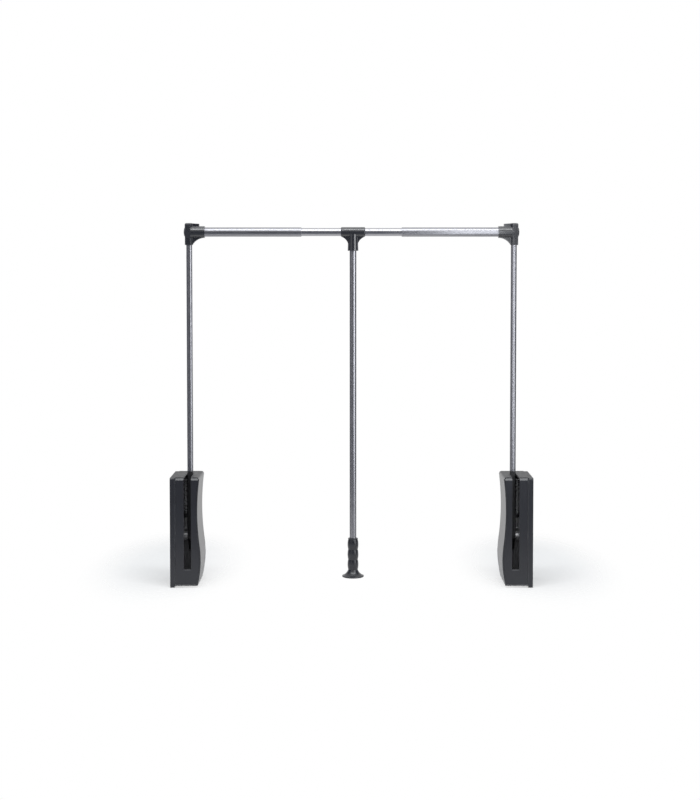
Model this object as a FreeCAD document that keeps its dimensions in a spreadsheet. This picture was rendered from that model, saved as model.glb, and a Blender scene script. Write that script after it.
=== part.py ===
"""Pull down closet rod: two spring boxes, two swinging arms, a telescoping rail and a pull handle.

The model stands on z = 0 with +Z up. +X runs along the rail, and who pulls the handle stands at -Y.
Every piece of the right-hand side is built at +X and mirrored over the plane x = 0 for the left-hand side.
"""
import FreeCAD, Part
import Sketcher
import math
import os
import re

V = FreeCAD.Vector
doc = FreeCAD.newDocument("pull_down_closet_rod")

# Driving dimensions, in millimetres.
DIMENSIONS = {
    # the whole product
    "half_width": 422.5,  # from the middle to the face that lies on the cabinet's side wall
    "total_height": 850,
    "arm_plane": 382,  # x of the plane that the arm swings in
    "arm_depth": 12.5,  # y of the pivot, the arm and the rail
    "pivot_height": 110,
    "rail_height": 829,
    # the moulded box
    "half_depth": 62.5,
    "plate_thickness": 10,
    "plate_height": 257,
    "plate_corner": 4,
    "plate_skin": 3,
    "plate_rib": 2.5,
    "plate_spine": 12,  # half the solid strip behind the pivot
    "plate_end": 58,  # the plate is solid below this height and as far from its top as its upper holes need
    "hole_radius": 2.5,
    "hole_offset_y": 47.5,
    "hole_low_z": 40,
    "hole_high_z": 232,
    "shell_bottom": 5,
    "shell_top": 258,
    "shell_wall": 2.5,
    "shell_shoulder": 353.2,  # x of the inner face at its top, before the dip
    "shell_turn_x": 353.3,  # where the dip turns into the belly
    "shell_turn_z": 98,
    "shell_foot_x": 358.5,
    "shell_dip_radius": 600,
    "shell_corner": 6,
    "rear_corner": 5,
    "fascia_depth": 5,
    "fascia_gap": 0.5,
    "fascia_bevel": 4.4,
    "fascia_rim": 6,  # height of the tray's solid top edge
    "ledge_width": 2.5,
    "ledge_depth": 2,
    "slot_half": 8.5,
    "slot_end_half": 7.6,
    "slot_end_y": 14,  # centre of the slot's round end
    "boss_face": 374.8,  # x where the shell's pivot boss faces the lever
    "slot_bottom": 43,
    "window_low": 35,
    "window_high": 69,
    "window_rear": 56,
    "window_width": 10,
    "cut_margin": 1,  # how far a cutting solid stands out of what it cuts
    # pivot, lever and cam
    "shaft_radius": 4,
    "spacer_radius": 8,
    "bush_radius": 6,
    "hub_radius": 12.5,
    "stem_width": 13,
    "stem_round": 3,
    "stem_rib": 3.3,
    "stem_neck": 155,  # height where the taper over the hub ends
    "stem_web": 2.4,
    "hollow_low": 160,
    "hollow_high": 256,
    "stem_top": 264,
    "spigot_length": 40,
    "cam_width": 12,
    "cam_base": 12,  # radius of the involute's base circle: the lift for each radian of swing
    "cam_start": 13,  # height of the follower's face over the pivot with the arm upright
    "cam_swing": 131,  # degrees of swing that the involute serves
    "cam_nose": 5,
    "running_gap": 0.3,
    "side_gap": 0.5,
    # springs, guides and damper
    "drive_depth": 34.5,  # y of the springs, guides and damper
    "spring_pitch": 13,  # from the arm plane to each spring
    "spring_outer": 6,
    "spring_wire": 2,
    "guide_radius": 2.5,
    "ear_top": 126,
    "ear_gap": 7,  # from the arm plane to each ear, clear of the cam
    "sheet_gauge": 2,
    "frame_low": 92,
    "frame_top": 243,
    "frame_front": -12,
    "frame_rear": 57,
    "flange_front": 26,
    "notch_low": 160,
    "frame_screw_low": 145,
    "frame_screw_high": 185,
    "pusher_bar_z": 150,
    "pusher_bar_height": 8,
    "pusher_half": 6,
    "pusher_reach": 18.2,
    "foot_front": 20.5,
    "foot_toe": 5,
    "foot_heel": 14,
    "damper_radius": 6,
    "damper_cap": 3,
    "damper_low": 194,
    "damper_rod_radius": 2,
    "damper_rod_top": 208,
    "stop_half": 8,
    "stop_rear": 28,
    "stop_low": 238,
    "stop_height": 8,
    # arm, corner, rail
    "arm_radius": 7,
    "tube_wall": 0.8,
    "arm_top": 838,
    "post_outer": 9.5,
    "corner_low": 798.5,
    "corner_screw_rise": 12,
    "barrel_radius": 14,
    "barrel_face": 345,  # x where the sleeve leaves the corner
    "barrel_end": 392,
    "corner_chamfer": 1.5,
    "gusset_middle_x": 363,
    "gusset_middle_z": 810,
    "gusset_high": 815.4,
    "corner_web": 12,
    "web_shoulder": 358,
    "web_low": 847.6,
    "web_high": 849.8,
    "cap_boss": 12,
    "cap_radius": 10,
    "cap_rim": 1.2,
    "cap_bulge": 3,
    "cap_belly": 2.55,  # how far the dome stands out halfway to its edge
    "cap_crown": 1.5,
    "sleeve_radius": 11,
    "sleeve_tip": 118,
    "sleeve_root": 370,
    "slide_radius": 9.5,
    "slide_end": 250,
    "slide_play": 0.06,
    # pull handle
    "tee_place": 3.5,  # the tee slides along the middle tube; this is where it stands
    "tee_half": 28.7,
    "tee_radius": 11.8,
    "tee_chamfer": 1.6,
    "stem_radius": 12,
    "stem_flare": 12.8,
    "tee_bottom": 785,
    "tee_gusset_low": 797,
    "tee_gusset_bend_x": 17,
    "tee_gusset_bend_z": 808.4,
    "tee_gusset_high": 817,
    "tee_gusset_root": 11.6,
    "tee_web_top": 825,
    "rod_radius": 8,
    "rod_top": 812,
    "rod_bottom": 60,
    "grip_top": 104,
    "collar_low": 101,
    "collar_radius": 11.4,
    "grip_bulge": 11.7,
    "grip_waist": 10.7,
    "grip_foot": 26,
    "grip_bottom": 11.5,
    "bell_radius": 26,
    "bell_throat": 15.3,
    "bell_throat_z": 18.1,
    "bell_rim_z": 14.5,
    "bell_round": 1,
    "bell_land": 4,
    "bell_hollow": 3,
    "bell_crown": 2.2,
    # screws
    "screw_radius": 1.8,
    "screw_head": 4,
    "screw_head_height": 2.4,
    "screw_bite": 3,  # how far a tube's screw starts from that tube's axis
    "frame_screw_length": 7,
    "tee_screw_z": 794,
}

sheet = doc.addObject("Spreadsheet::Sheet", "Sizes")
for row, (alias, number) in enumerate(DIMENSIONS.items(), start=1):
    sheet.set(f"A{row}", alias)
    sheet.set(f"B{row}", str(number))
    sheet.setAlias(f"B{row}", alias)
doc.recompute()


# ---------------------------------------------------------------------------------------------------------
# Formulas: a size is written as a formula over the sheet's aliases, such as "half_width - plate_thickness".


def bound(formula):
    """The formula with each alias named as a cell of the sheet. Every alias holds an underscore."""
    return re.sub(r"[a-z]+(?:_[a-z]+)+", lambda word: "Sizes." + word.group(), str(formula))


def value(formula):
    return float(sheet.evalExpression(bound(formula)))


def bind(item, **sizes):
    """Ties properties of an object to formulas."""
    for name, formula in sizes.items():
        item.setExpression(name, bound(formula))


def place(item, at):
    """Ties an object's position to three formulas."""
    for letter, formula in zip("xyz", at):
        item.setExpression(f"Placement.Base.{letter}", bound(formula))


# ---------------------------------------------------------------------------------------------------------
# Part primitives

TURNS = {
    "z": FreeCAD.Rotation(),
    "x": FreeCAD.Rotation(V(0, 1, 0), 90),
    "y": FreeCAD.Rotation(V(1, 0, 0), -90),
}


def cylinder(name, radius, length, at, axis="z"):
    item = doc.addObject("Part::Cylinder", name)
    item.Placement = FreeCAD.Placement(V(), TURNS[axis])
    bind(item, Radius=radius, Height=length)
    place(item, at)
    return item


def cone(name, radii, length, at, axis="z"):
    item = doc.addObject("Part::Cone", name)
    item.Placement = FreeCAD.Placement(V(), TURNS[axis])
    bind(item, Radius1=radii[0], Radius2=radii[1], Height=length)
    place(item, at)
    return item


def prism(name, sides, radius, length, at, axis="z"):
    item = doc.addObject("Part::Prism", name)
    item.Polygon = sides
    item.Placement = FreeCAD.Placement(V(), TURNS[axis])
    bind(item, Circumradius=radius, Height=length)
    place(item, at)
    return item


def box(name, sizes, at):
    item = doc.addObject("Part::Box", name)
    bind(item, Length=sizes[0], Width=sizes[1], Height=sizes[2])
    place(item, at)
    return item


def cut(name, base, tool):
    item = doc.addObject("Part::Cut", name)
    item.Base, item.Tool = base, tool
    item.Refine = True
    return item


def fuse(name, pieces):
    item = doc.addObject("Part::MultiFuse", name)
    item.Shapes = pieces
    item.Refine = True
    return item


def group(name, pieces):
    """Several separate solids that share one node."""
    item = doc.addObject("Part::Compound", name)
    item.Links = pieces
    return item


def tube(name, outer, inner, length, at, axis="z"):
    hollow = cylinder(name + "_bore", inner, length, at, axis)
    return cut(name, cylinder(name + "_wall", outer, length, at, axis), hollow)


SHANK_SIDES = 8  # a screw's thread and the hole that it cuts are both eight-sided


def pilot(name, at, axis, length):
    """The hole of a screw's shank."""
    return prism(name, SHANK_SIDES, "screw_radius", length, at, axis)


def screw(name, at, axis, length, head_first=True):
    """A hex head screw. Its shank starts at a point and runs along the axis; the head is at one end of it."""
    shank = pilot(name + "_shank", at, axis, length)
    seat = list(at)
    side = "xyz".index(axis)
    seat[side] = f"{at[side]} - screw_head_height" if head_first else f"{at[side]} + {length}"
    head = prism(name + "_head", 6, "screw_head", "screw_head_height", seat, axis)
    return fuse(name, [shank, head])


# ---------------------------------------------------------------------------------------------------------
# PartDesign bodies

PLANES = {"xy": "XY_Plane", "xz": "XZ_Plane", "yz": "YZ_Plane"}


def new_body(name):
    return doc.addObject("PartDesign::Body", name)


def sketch_on(body, plane, name, level=0):
    """A sketch on one of the body's origin planes, lifted along the plane's normal to a level.

    The xz plane's normal points to -y, so there a level of "-arm_depth" lies at y = arm_depth.
    """
    sketch = body.newObject("Sketcher::SketchObject", f"{body.Name}_{name}")
    support = [item for item in body.Origin.OriginFeatures if item.Role == PLANES[plane]][0]
    sketch.AttachmentSupport = [(support, "")]
    sketch.MapMode = "FlatFace"
    sketch.setExpression("AttachmentOffset.Base.z", bound(level))
    return sketch


def hold(sketch, geometry, vertex, point):
    """Fixes a vertex of a sketch at two formulas."""
    for kind, formula in zip(("DistanceX", "DistanceY"), point):
        rule = Sketcher.Constraint(kind, -1, 1, geometry, vertex, value(formula))
        sketch.setExpression(f"Constraints[{sketch.addConstraint(rule)}]", bound(formula))


def flat(point):
    return V(value(point[0]), value(point[1]), 0)


def outline(sketch, start, steps):
    """A closed outline. A step is an end point (a line) or a middle point and an end point (an arc).

    Points are pairs of formulas. The last step ends at the start.
    """
    first = sketch.GeometryCount
    here = start
    for step in steps:
        if isinstance(step[0], tuple):
            middle, end = step
            arc = sketch.addGeometry(Part.Arc(flat(here), flat(middle), flat(end)), False)
            mark = sketch.addGeometry(Part.Point(flat(middle)), True)
            hold(sketch, mark, 1, middle)
            sketch.addConstraint(Sketcher.Constraint("PointOnObject", mark, 1, arc))
        else:
            end = step
            sketch.addGeometry(Part.LineSegment(flat(here), flat(end)), False)
        here = end
    added = range(first, sketch.GeometryCount)
    drawn = [index for index in added if sketch.Geometry[index].TypeId != "Part::GeomPoint"]
    starts = [start] + [step_end(step) for step in steps[:-1]]
    ends = [tail_and_head(sketch, index, begin) for index, begin in zip(drawn, starts)]
    for n, index in enumerate(drawn):
        following = (n + 1) % len(drawn)
        joint = (index, ends[n][1], drawn[following], ends[following][0])
        sketch.addConstraint(Sketcher.Constraint("Coincident", *joint))
        hold(sketch, index, ends[n][0], starts[n])


def step_end(step):
    return step[1] if isinstance(step[0], tuple) else step


def tail_and_head(sketch, index, start):
    """Which vertex of a line or arc lies at its start: an arc runs counter-clockwise however it was drawn."""
    gaps = [(sketch.getPoint(index, vertex) - flat(start)).Length for vertex in (1, 2)]
    return (1, 2) if gaps[0] < gaps[1] else (2, 1)


def rectangle(sketch, low, high):
    outline(sketch, low, [(high[0], low[1]), high, (low[0], high[1]), low])


def circle(sketch, centre, radius):
    index = sketch.addGeometry(Part.Circle(flat(centre), V(0, 0, 1), value(radius)), False)
    hold(sketch, index, 3, centre)
    rule = sketch.addConstraint(Sketcher.Constraint("Radius", index, value(radius)))
    sketch.setExpression(f"Constraints[{rule}]", bound(radius))


def pad(body, sketch, length, middle=False, back=False):
    item = body.newObject("PartDesign::Pad", f"{sketch.Name}_pad")
    item.Profile = sketch
    item.Midplane, item.Reversed = middle, back
    bind(item, Length=length)
    doc.recompute()
    return item


def pocket(body, sketch, length, middle=False, back=False):
    """Cuts against the plane's normal, or along it with back. It has to take material away."""
    before = body.Shape.Volume
    item = body.newObject("PartDesign::Pocket", f"{sketch.Name}_pocket")
    item.Profile = sketch
    item.Midplane, item.Reversed = middle, back
    bind(item, Length=length)
    doc.recompute()
    if not body.Shape.Volume < before:
        raise RuntimeError(f"{item.Name} cuts nothing")
    return item


def revolve(body, sketch, axis_start, axis_end):
    """Turns a half section all the way round a line."""
    spin = sketch_on(body, "xz", "axis", "-arm_depth")
    line = spin.addGeometry(Part.LineSegment(flat(axis_start), flat(axis_end)), False)
    hold(spin, line, 1, axis_start)
    hold(spin, line, 2, axis_end)
    item = body.newObject("PartDesign::Revolution", f"{sketch.Name}_turn")
    item.Profile = sketch
    item.ReferenceAxis = (spin, ["Edge1"])
    item.Angle = 360
    doc.recompute()
    body.Tip = item
    return item


def edges(body, wanted):
    """Names of the edges of a body whose two ends and middle all pass a test of a point."""
    names = []
    for number, edge in enumerate(body.Shape.Edges, start=1):
        middle = edge.valueAt((edge.FirstParameter + edge.LastParameter) / 2)
        if all(wanted(point) for point in [vertex.Point for vertex in edge.Vertexes] + [middle]):
            names.append(f"Edge{number}")
    if not names:
        raise RuntimeError(f"no edge of {body.Name} passes the test")
    return names


def dress(body, kind, size, wanted):
    """A Fillet or Chamfer on the edges that pass a test."""
    base = (body.Tip, edges(body, wanted))
    item = body.newObject(f"PartDesign::{kind}", f"{body.Name}_{kind.lower()}")
    item.Base = base
    if kind == "Fillet":
        bind(item, Radius=size)
    else:
        bind(item, Size=size)
    doc.recompute()
    if "Invalid" in item.State:
        raise RuntimeError(f"{item.Name} can't be made")
    return item


def near(a, formula, slack=0.02):
    return abs(a - value(formula)) < slack


# ---------------------------------------------------------------------------------------------------------
# The box on the cabinet's side wall

PLATE_FACE = "half_width - plate_thickness"
HOLES = [(side + "hole_offset_y", height) for side in ("-", "") for height in ("hole_low_z", "hole_high_z")]
PIVOT = ("arm_depth", "pivot_height")
FRAME_SCREWS = [("arm_depth", "frame_screw_low"), ("arm_depth", "frame_screw_high")]
PANEL_ROWS = 4


def mounting_plate():
    """The moulded base: solid at its ends and behind the pivot, ribbed between, with four screw holes."""
    body = new_body("right_plate_body")
    blank = sketch_on(body, "yz", "blank", PLATE_FACE)
    rectangle(blank, ("-half_depth", "0"), ("half_depth", "plate_height"))
    pad(body, blank, "plate_thickness")
    dress(
        body,
        "Fillet",
        "plate_corner",
        lambda p: near(abs(p.y), "half_depth") and (near(p.z, "0") or near(p.z, "plate_height")),
    )
    panels = sketch_on(body, "yz", "panels", "half_width")
    up = f"(plate_height - 2 * plate_end + plate_rib) / {PANEL_ROWS}"
    columns = (
        ("plate_rib - half_depth", "arm_depth - plate_spine"),
        ("arm_depth + plate_spine", "half_depth - plate_rib"),
    )
    for near_side, far_side in columns:
        for line in range(PANEL_ROWS):
            low = (near_side, f"plate_end + {line} * {up}")
            high = (far_side, f"plate_end - plate_rib + {line + 1} * {up}")
            rectangle(panels, low, high)
    pocket(body, panels, "plate_thickness - plate_skin")
    holes = sketch_on(body, "yz", "holes", "half_width")
    for centre in HOLES:
        circle(holes, centre, "hole_radius")
    pocket(body, holes, "plate_thickness")
    return cut("right_mounting_plate", body, frame_screw_pilots("right_plate_pilot"))


def frame_screw_pilots(name):
    start = f"{PLATE_FACE} - sheet_gauge"
    drills = [
        pilot(f"{name}_{number}", (start, *centre), "x", "frame_screw_length")
        for number, centre in enumerate(FRAME_SCREWS)
    ]
    return fuse(name + "s", drills)


def side_profile(sketch, inset, top_inset=None, outer_inset=None):
    """The box's outline from the front: flat outside, and inside a long dip that turns into a low belly."""
    top = f"shell_top - ({inset if top_inset is None else top_inset})"
    low = f"shell_bottom + ({inset})"
    outer = f"{PLATE_FACE} - ({inset if outer_inset is None else outer_inset})"
    shoulder = (f"shell_shoulder + ({inset})", top)
    turn = (f"shell_turn_x + ({inset})", "shell_turn_z")
    foot = (f"shell_foot_x + ({inset})", low)
    dip_radius = f"shell_dip_radius + ({inset})"
    corners = [(outer, low), (outer, top), shoulder]
    lines = [(foot, corners[0]), (corners[0], corners[1]), (corners[1], corners[2])]
    for tail, head in lines:
        sketch.addGeometry(Part.LineSegment(flat(tail), flat(head)), False)
    # the dip is an arc of the stated radius, centred on the side of the hanging bay
    a, b = flat(shoulder), flat(turn)
    across = V(a.y - b.y, b.x - a.x, 0).normalize()
    sag = value(dip_radius) - math.sqrt(value(dip_radius) ** 2 - (a - b).Length ** 2 / 4)
    dip = sketch.addGeometry(Part.Arc(a, (a + b) / 2 + across * sag, b), False)
    # the belly leaves the dip in the same direction and ends at the foot
    c = flat(foot)
    centre = (a + b) / 2 - across * (value(dip_radius) - sag)
    spoke = (b - centre).normalize()
    chord = c - b
    belly_radius = chord.Length**2 / (2 * abs(chord.dot(spoke)))
    belly_centre = b + spoke * belly_radius
    out = ((b + c) / 2 - belly_centre).normalize()
    belly = sketch.addGeometry(Part.Arc(b, belly_centre + out * belly_radius, c), False)
    dip_ends = tail_and_head(sketch, dip, shoulder)
    belly_ends = tail_and_head(sketch, belly, turn)
    meetings = [
        (0, 2, 1, 1),
        (1, 2, 2, 1),
        (2, 2, dip, dip_ends[0]),
        (belly, belly_ends[1], 0, 1),
    ]
    for meeting in meetings:
        sketch.addConstraint(Sketcher.Constraint("Coincident", *meeting))
    sketch.addConstraint(Sketcher.Constraint("Tangent", dip, dip_ends[1], belly, belly_ends[0]))
    for geometry, vertex, point in ((0, 2, corners[0]), (1, 2, corners[1]), (2, 2, shoulder), (0, 1, foot)):
        hold(sketch, geometry, vertex, point)
    hold(sketch, dip, dip_ends[1], turn)
    rule = sketch.addConstraint(Sketcher.Constraint("Radius", dip, value(dip_radius)))
    sketch.setExpression(f"Constraints[{rule}]", bound(dip_radius))


def housing_shell():
    """The moulded cover: curved inner wall, recess for the fascia, arm slot, snap window and pivot boss."""
    body = new_body("right_housing_shell")
    solid = sketch_on(body, "xz", "solid")
    side_profile(solid, "0")
    pad(body, solid, "2 * half_depth", middle=True)
    dress(body, "Fillet", "shell_corner", lambda p: near(p.z, "shell_top") and near(p.x, "shell_shoulder"))
    dress(
        body,
        "Fillet",
        "rear_corner",
        lambda p: near(p.y, "half_depth") and not near(p.x, PLATE_FACE) and p.z > value("shell_bottom") + 0.1
        or near(p.y, "half_depth") and near(p.z, "shell_top"),
    )
    recess = sketch_on(body, "xz", "recess", "half_depth")
    side_profile(recess, "shell_wall", top_inset="0")
    pocket(body, recess, "fascia_depth")
    ledge = sketch_on(body, "xz", "ledge", "half_depth - fascia_depth")
    side_profile(ledge, "shell_wall + ledge_width")
    pocket(body, ledge, "ledge_depth")
    cavity = sketch_on(body, "xz", "cavity", "half_depth - fascia_depth - ledge_depth")
    side_profile(cavity, "shell_wall", outer_inset="0")
    pocket(body, cavity, "2 * half_depth - fascia_depth - ledge_depth - shell_wall")
    slot = sketch_on(body, "xy", "slot", "shell_top")
    front = "fascia_depth - half_depth - cut_margin"
    left, right = "arm_plane - slot_half", "arm_plane + slot_half"
    left_end = ("arm_plane - slot_end_half", "slot_end_y")
    right_end = ("arm_plane + slot_end_half", "slot_end_y")
    tip = ("arm_plane", "slot_end_y + slot_end_half")
    outline(slot, (left, front), [(right, front), right_end, (tip, left_end), (left, front)])
    pocket(body, slot, "2 * shell_wall + cut_margin")
    window = sketch_on(body, "yz", "window", "shell_shoulder - 2 * shell_wall")
    near_y, far_y = "window_rear - window_width", "window_rear"
    start = (near_y, "window_low")
    slant = (far_y, "window_low + window_width")
    outline(window, start, [slant, (far_y, "window_high"), (near_y, "window_high"), start])
    pocket(body, window, "4 * shell_wall", back=True)
    boss = sketch_on(body, "yz", "boss", "boss_face")
    circle(boss, PIVOT, "spacer_radius")
    pad(body, boss, "boss_face - shell_turn_x - shell_wall / 2", back=True)
    seat = sketch_on(body, "yz", "seat", "boss_face")
    circle(seat, PIVOT, "shaft_radius")
    pocket(body, seat, "boss_face - shell_turn_x - shell_wall")
    return body


def slot_fascia():
    """The front cover: a shallow moulded tray with a bevelled top edge, cut by the arm's slot."""
    body = new_body("right_slot_fascia")
    inset = "shell_wall + fascia_gap"
    face = sketch_on(body, "xz", "face", "half_depth - fascia_depth")
    side_profile(face, inset, top_inset="0")
    pad(body, face, "fascia_depth")
    dress(body, "Chamfer", "fascia_bevel", lambda p: near(p.z, "shell_top") and near(p.y, "-half_depth"))
    tray = sketch_on(body, "xz", "tray", "half_depth - fascia_depth")
    side_profile(tray, f"{inset} + shell_wall", top_inset="fascia_rim")
    pocket(body, tray, "fascia_depth - shell_wall", back=True)
    slot = sketch_on(body, "xz", "slot", "half_depth")
    far_corner = ("arm_plane + slot_half", "shell_top + cut_margin")
    rectangle(slot, ("arm_plane - slot_half", "slot_bottom"), far_corner)
    pocket(body, slot, "fascia_depth")
    dress(
        body,
        "Chamfer",
        "shell_wall / 2",
        lambda p: near(p.z, "slot_bottom") and near(p.y, "-half_depth"),
    )
    return body


def spring_frame():
    """The bent steel sheet that carries the springs: side web, rear web, top flange and two ears."""
    body = new_body("right_frame_body")
    outer, inner = PLATE_FACE, "arm_plane - spring_pitch - spring_outer + running_gap"
    section = sketch_on(body, "xy", "section", "frame_low")
    rear, front = "frame_rear", "frame_front"
    outline(
        section,
        (outer, front),
        [
            (outer, rear),
            (inner, rear),
            (inner, f"{rear} - sheet_gauge"),
            (f"{outer} - sheet_gauge", f"{rear} - sheet_gauge"),
            (f"{outer} - sheet_gauge", front),
            (outer, front),
        ],
    )
    pad(body, section, "frame_top - frame_low")
    flange = sketch_on(body, "xy", "flange", "frame_top")
    rectangle(flange, (inner, "flange_front"), (outer, rear))
    pad(body, flange, "sheet_gauge", back=True)
    ears = sketch_on(body, "xy", "ears", "ear_top")
    ear_edge = "drive_depth - spring_outer"
    rectangle(ears, (inner, ear_edge), ("arm_plane - ear_gap", rear))
    rectangle(ears, ("arm_plane + ear_gap", ear_edge), (outer, rear))
    pad(body, ears, "sheet_gauge", back=True)
    corner = sketch_on(body, "yz", "corner", PLATE_FACE)
    top_front = (front, "frame_top")
    outline(corner, top_front, [(front, "notch_low"), ("flange_front", "frame_top"), top_front])
    pocket(body, corner, "sheet_gauge")
    return cut("right_spring_frame", body, frame_screw_pilots("right_frame_pilot"))


# ---------------------------------------------------------------------------------------------------------
# What turns and slides inside the box

ARM_SCREW_Y = "arm_depth - screw_bite"
ARM_SCREW_Z = "stem_top + spigot_length / 2"
CORNER_SCREW_Z = "corner_low + corner_screw_rise"


def pivot_pieces():
    """The stud on the frame, whose free end sits in the shell's boss, its spacer and the lever's bush."""
    web = f"{PLATE_FACE} - sheet_gauge"
    stud_end = "shell_turn_x + shell_wall"
    bore = "shaft_radius + slide_play"
    lever_side = "arm_plane + stem_width / 2 + side_gap"
    bush_start = ("arm_plane - stem_width / 2", *PIVOT)
    spacer_length = f"{web} - ({lever_side})"
    return [
        cylinder("right_pivot_shaft", "shaft_radius", f"{web} - ({stud_end})", (stud_end, *PIVOT), "x"),
        tube("right_pivot_spacer", "spacer_radius", bore, spacer_length, (lever_side, *PIVOT), "x"),
        tube("right_pivot_bush", "bush_radius", bore, "stem_width", bush_start, "x"),
    ]


def involute_cam(name):
    """The cam on the lever's hub. Its flank is an involute in five arcs, so the flat foot rises evenly.

    The tangent line whose normal is turned by an angle a from straight up lies cam_start + cam_base * a
    from the pivot and touches the flank cam_base behind the pivot.
    """
    base, start, nose = value("cam_base"), value("cam_start"), value("cam_nose")
    swing = math.radians(value("cam_swing"))

    def normal(angle):
        return V(0, math.sin(angle), math.cos(angle))

    def flank(angle):
        along = V(0, math.cos(angle), -math.sin(angle))
        return normal(angle) * (start + base * angle) + along * base

    arcs = 5
    lead = 0.1  # the flank starts this much of a radian before the first point of contact
    angles = [(swing + lead) * half / (2 * arcs) - lead for half in range(2 * arcs + 1)]
    points = [flank(angle) for angle in angles]
    flank_arcs = [Part.Arc(*points[place : place + 3]).toShape() for place in range(0, 2 * arcs, 2)]
    tip = flank(swing)
    hub = tip - normal(swing) * nose
    round_over = [hub + normal(swing + math.radians(turn)) * nose for turn in (0, 60, 120)]
    edge_list = [
        *flank_arcs,
        Part.Arc(*round_over).toShape(),
        Part.LineSegment(round_over[2], V()).toShape(),
        Part.LineSegment(V(), flank(-lead)).toShape(),
    ]
    item = doc.addObject("Part::Feature", name)
    face = Part.Face(Part.Wire(edge_list))
    item.Shape = face.extrude(V(value("cam_width"), 0, 0))
    item.Placement = FreeCAD.Placement(V(), FreeCAD.Rotation())
    place(item, ("arm_plane - cam_width / 2", *PIVOT))
    return item


def lever():
    """The lever: hub with cam, a stem hollowed on both sides, and the spigot that the arm tube slides on."""
    body = new_body("right_lever_stem")
    side = sketch_on(body, "yz", "side", "arm_plane")
    half = "stem_width / 2"
    rear, front = f"arm_depth + {half}", f"arm_depth - {half}"
    outline(
        side,
        (rear, "pivot_height"),
        [
            (rear, "stem_top"),
            (front, "stem_top"),
            (front, "stem_neck"),
            ("arm_depth - hub_radius", "pivot_height"),
            (rear, "pivot_height"),
        ],
    )
    pad(body, side, "stem_width", middle=True)
    at_side = lambda p: near(abs(p.x - value("arm_plane")), half)
    dress(body, "Fillet", "stem_round", lambda p: at_side(p) and (near(p.y, rear) or near(p.y, front)))
    for name, sign, back in (("outer", "+", False), ("inner", "-", True)):
        hollow = sketch_on(body, "yz", f"{name}_hollow", f"arm_plane {sign} {half}")
        rectangle(hollow, (f"{front} + stem_rib", "hollow_low"), (f"{rear} - stem_rib", "hollow_high"))
        pocket(body, hollow, f"({half}) - stem_web / 2", back=back)
    spigot = sketch_on(body, "xy", "spigot", "stem_top")
    circle(spigot, ("arm_plane", "arm_depth"), "arm_radius - tube_wall - slide_play")
    pad(body, spigot, "spigot_length")
    hub = cylinder("right_lever_hub", "hub_radius", "stem_width", (f"arm_plane - {half}", *PIVOT), "x")
    whole = fuse("right_lever_whole", [body, hub, involute_cam("right_lever_cam")])
    bore = cylinder("right_lever_bore", "bush_radius", "stem_width", (f"arm_plane - {half}", *PIVOT), "x")
    start = ("arm_plane", ARM_SCREW_Y, ARM_SCREW_Z)
    drill = pilot("right_lever_pilot", start, "y", "arm_radius + screw_bite")
    return cut("right_lever", whole, fuse("right_lever_cuts", [bore, drill]))


def pusher():
    """The cam follower: a flat foot under a cross bar that slides on both guides and carries the springs."""
    body = new_body("right_pusher")
    bar = sketch_on(body, "xy", "bar", "pusher_bar_z")
    low_y, high_y = "drive_depth - pusher_half", "drive_depth + pusher_half"
    outline(
        bar,
        ("arm_plane - spring_pitch", low_y),
        [
            ("arm_plane + spring_pitch", low_y),
            (("arm_plane + pusher_reach", "drive_depth"), ("arm_plane + spring_pitch", high_y)),
            ("arm_plane - spring_pitch", high_y),
            (("arm_plane - pusher_reach", "drive_depth"), ("arm_plane - spring_pitch", low_y)),
        ],
    )
    pad(body, bar, "pusher_bar_height")
    foot = sketch_on(body, "yz", "foot", "arm_plane")
    sole = "pivot_height + cam_start + running_gap"
    root = "pusher_bar_z + cut_margin"
    toe = ("foot_front", sole)
    heel = [(low_y, f"{sole} + foot_heel"), ("foot_front", f"{sole} + foot_toe")]
    outline(foot, toe, [(high_y, sole), (high_y, root), (low_y, root), *heel, toe])
    pad(body, foot, "cam_width", middle=True)
    holes = sketch_on(body, "xy", "holes", "pusher_bar_z + pusher_bar_height")
    for side in ("-", "+"):
        circle(holes, (f"arm_plane {side} spring_pitch", "drive_depth"), "guide_radius + slide_play")
    pocket(body, holes, "pusher_bar_height")
    return body


def spring_coil(name, across):
    """One compression spring of square wire with closed ends.

    The wire's section is carried up the coil in straight chords. The rise is slower near the two ends.
    """
    turns, chords = 5, 10
    wire = value("spring_wire")
    outer = value("spring_outer") - value("running_gap")
    low = value("pusher_bar_z + pusher_bar_height") + wire / 2
    rise = value("frame_top - sheet_gauge") - wire / 2 - low
    centre = V(value(across), value("drive_depth"), 0)
    rings = []
    for step in range(turns * chords + 1):
        part = step / (turns * chords)
        height = low + rise * (part - 0.8 * math.sin(2 * math.pi * part) / (2 * math.pi))
        angle = 2 * math.pi * step / chords
        spoke = V(math.cos(angle), math.sin(angle), 0)
        corners = ((outer - wire, -1), (outer, -1), (outer, 1), (outer - wire, 1))
        rings.append([centre + spoke * radius + V(0, 0, height + up * wire / 2) for radius, up in corners])
    faces = [rings[0][::-1], rings[-1]]
    for lower, upper in zip(rings, rings[1:]):
        for one in range(4):
            two = (one + 1) % 4
            faces.append([lower[one], lower[two], upper[two]])
            faces.append([lower[one], upper[two], upper[one]])
    shell = Part.Shell([Part.Face(Part.makePolygon(loop + loop[:1])) for loop in faces])
    item = doc.addObject("Part::Feature", name)
    item.Shape = Part.Solid(shell)
    return item


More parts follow.
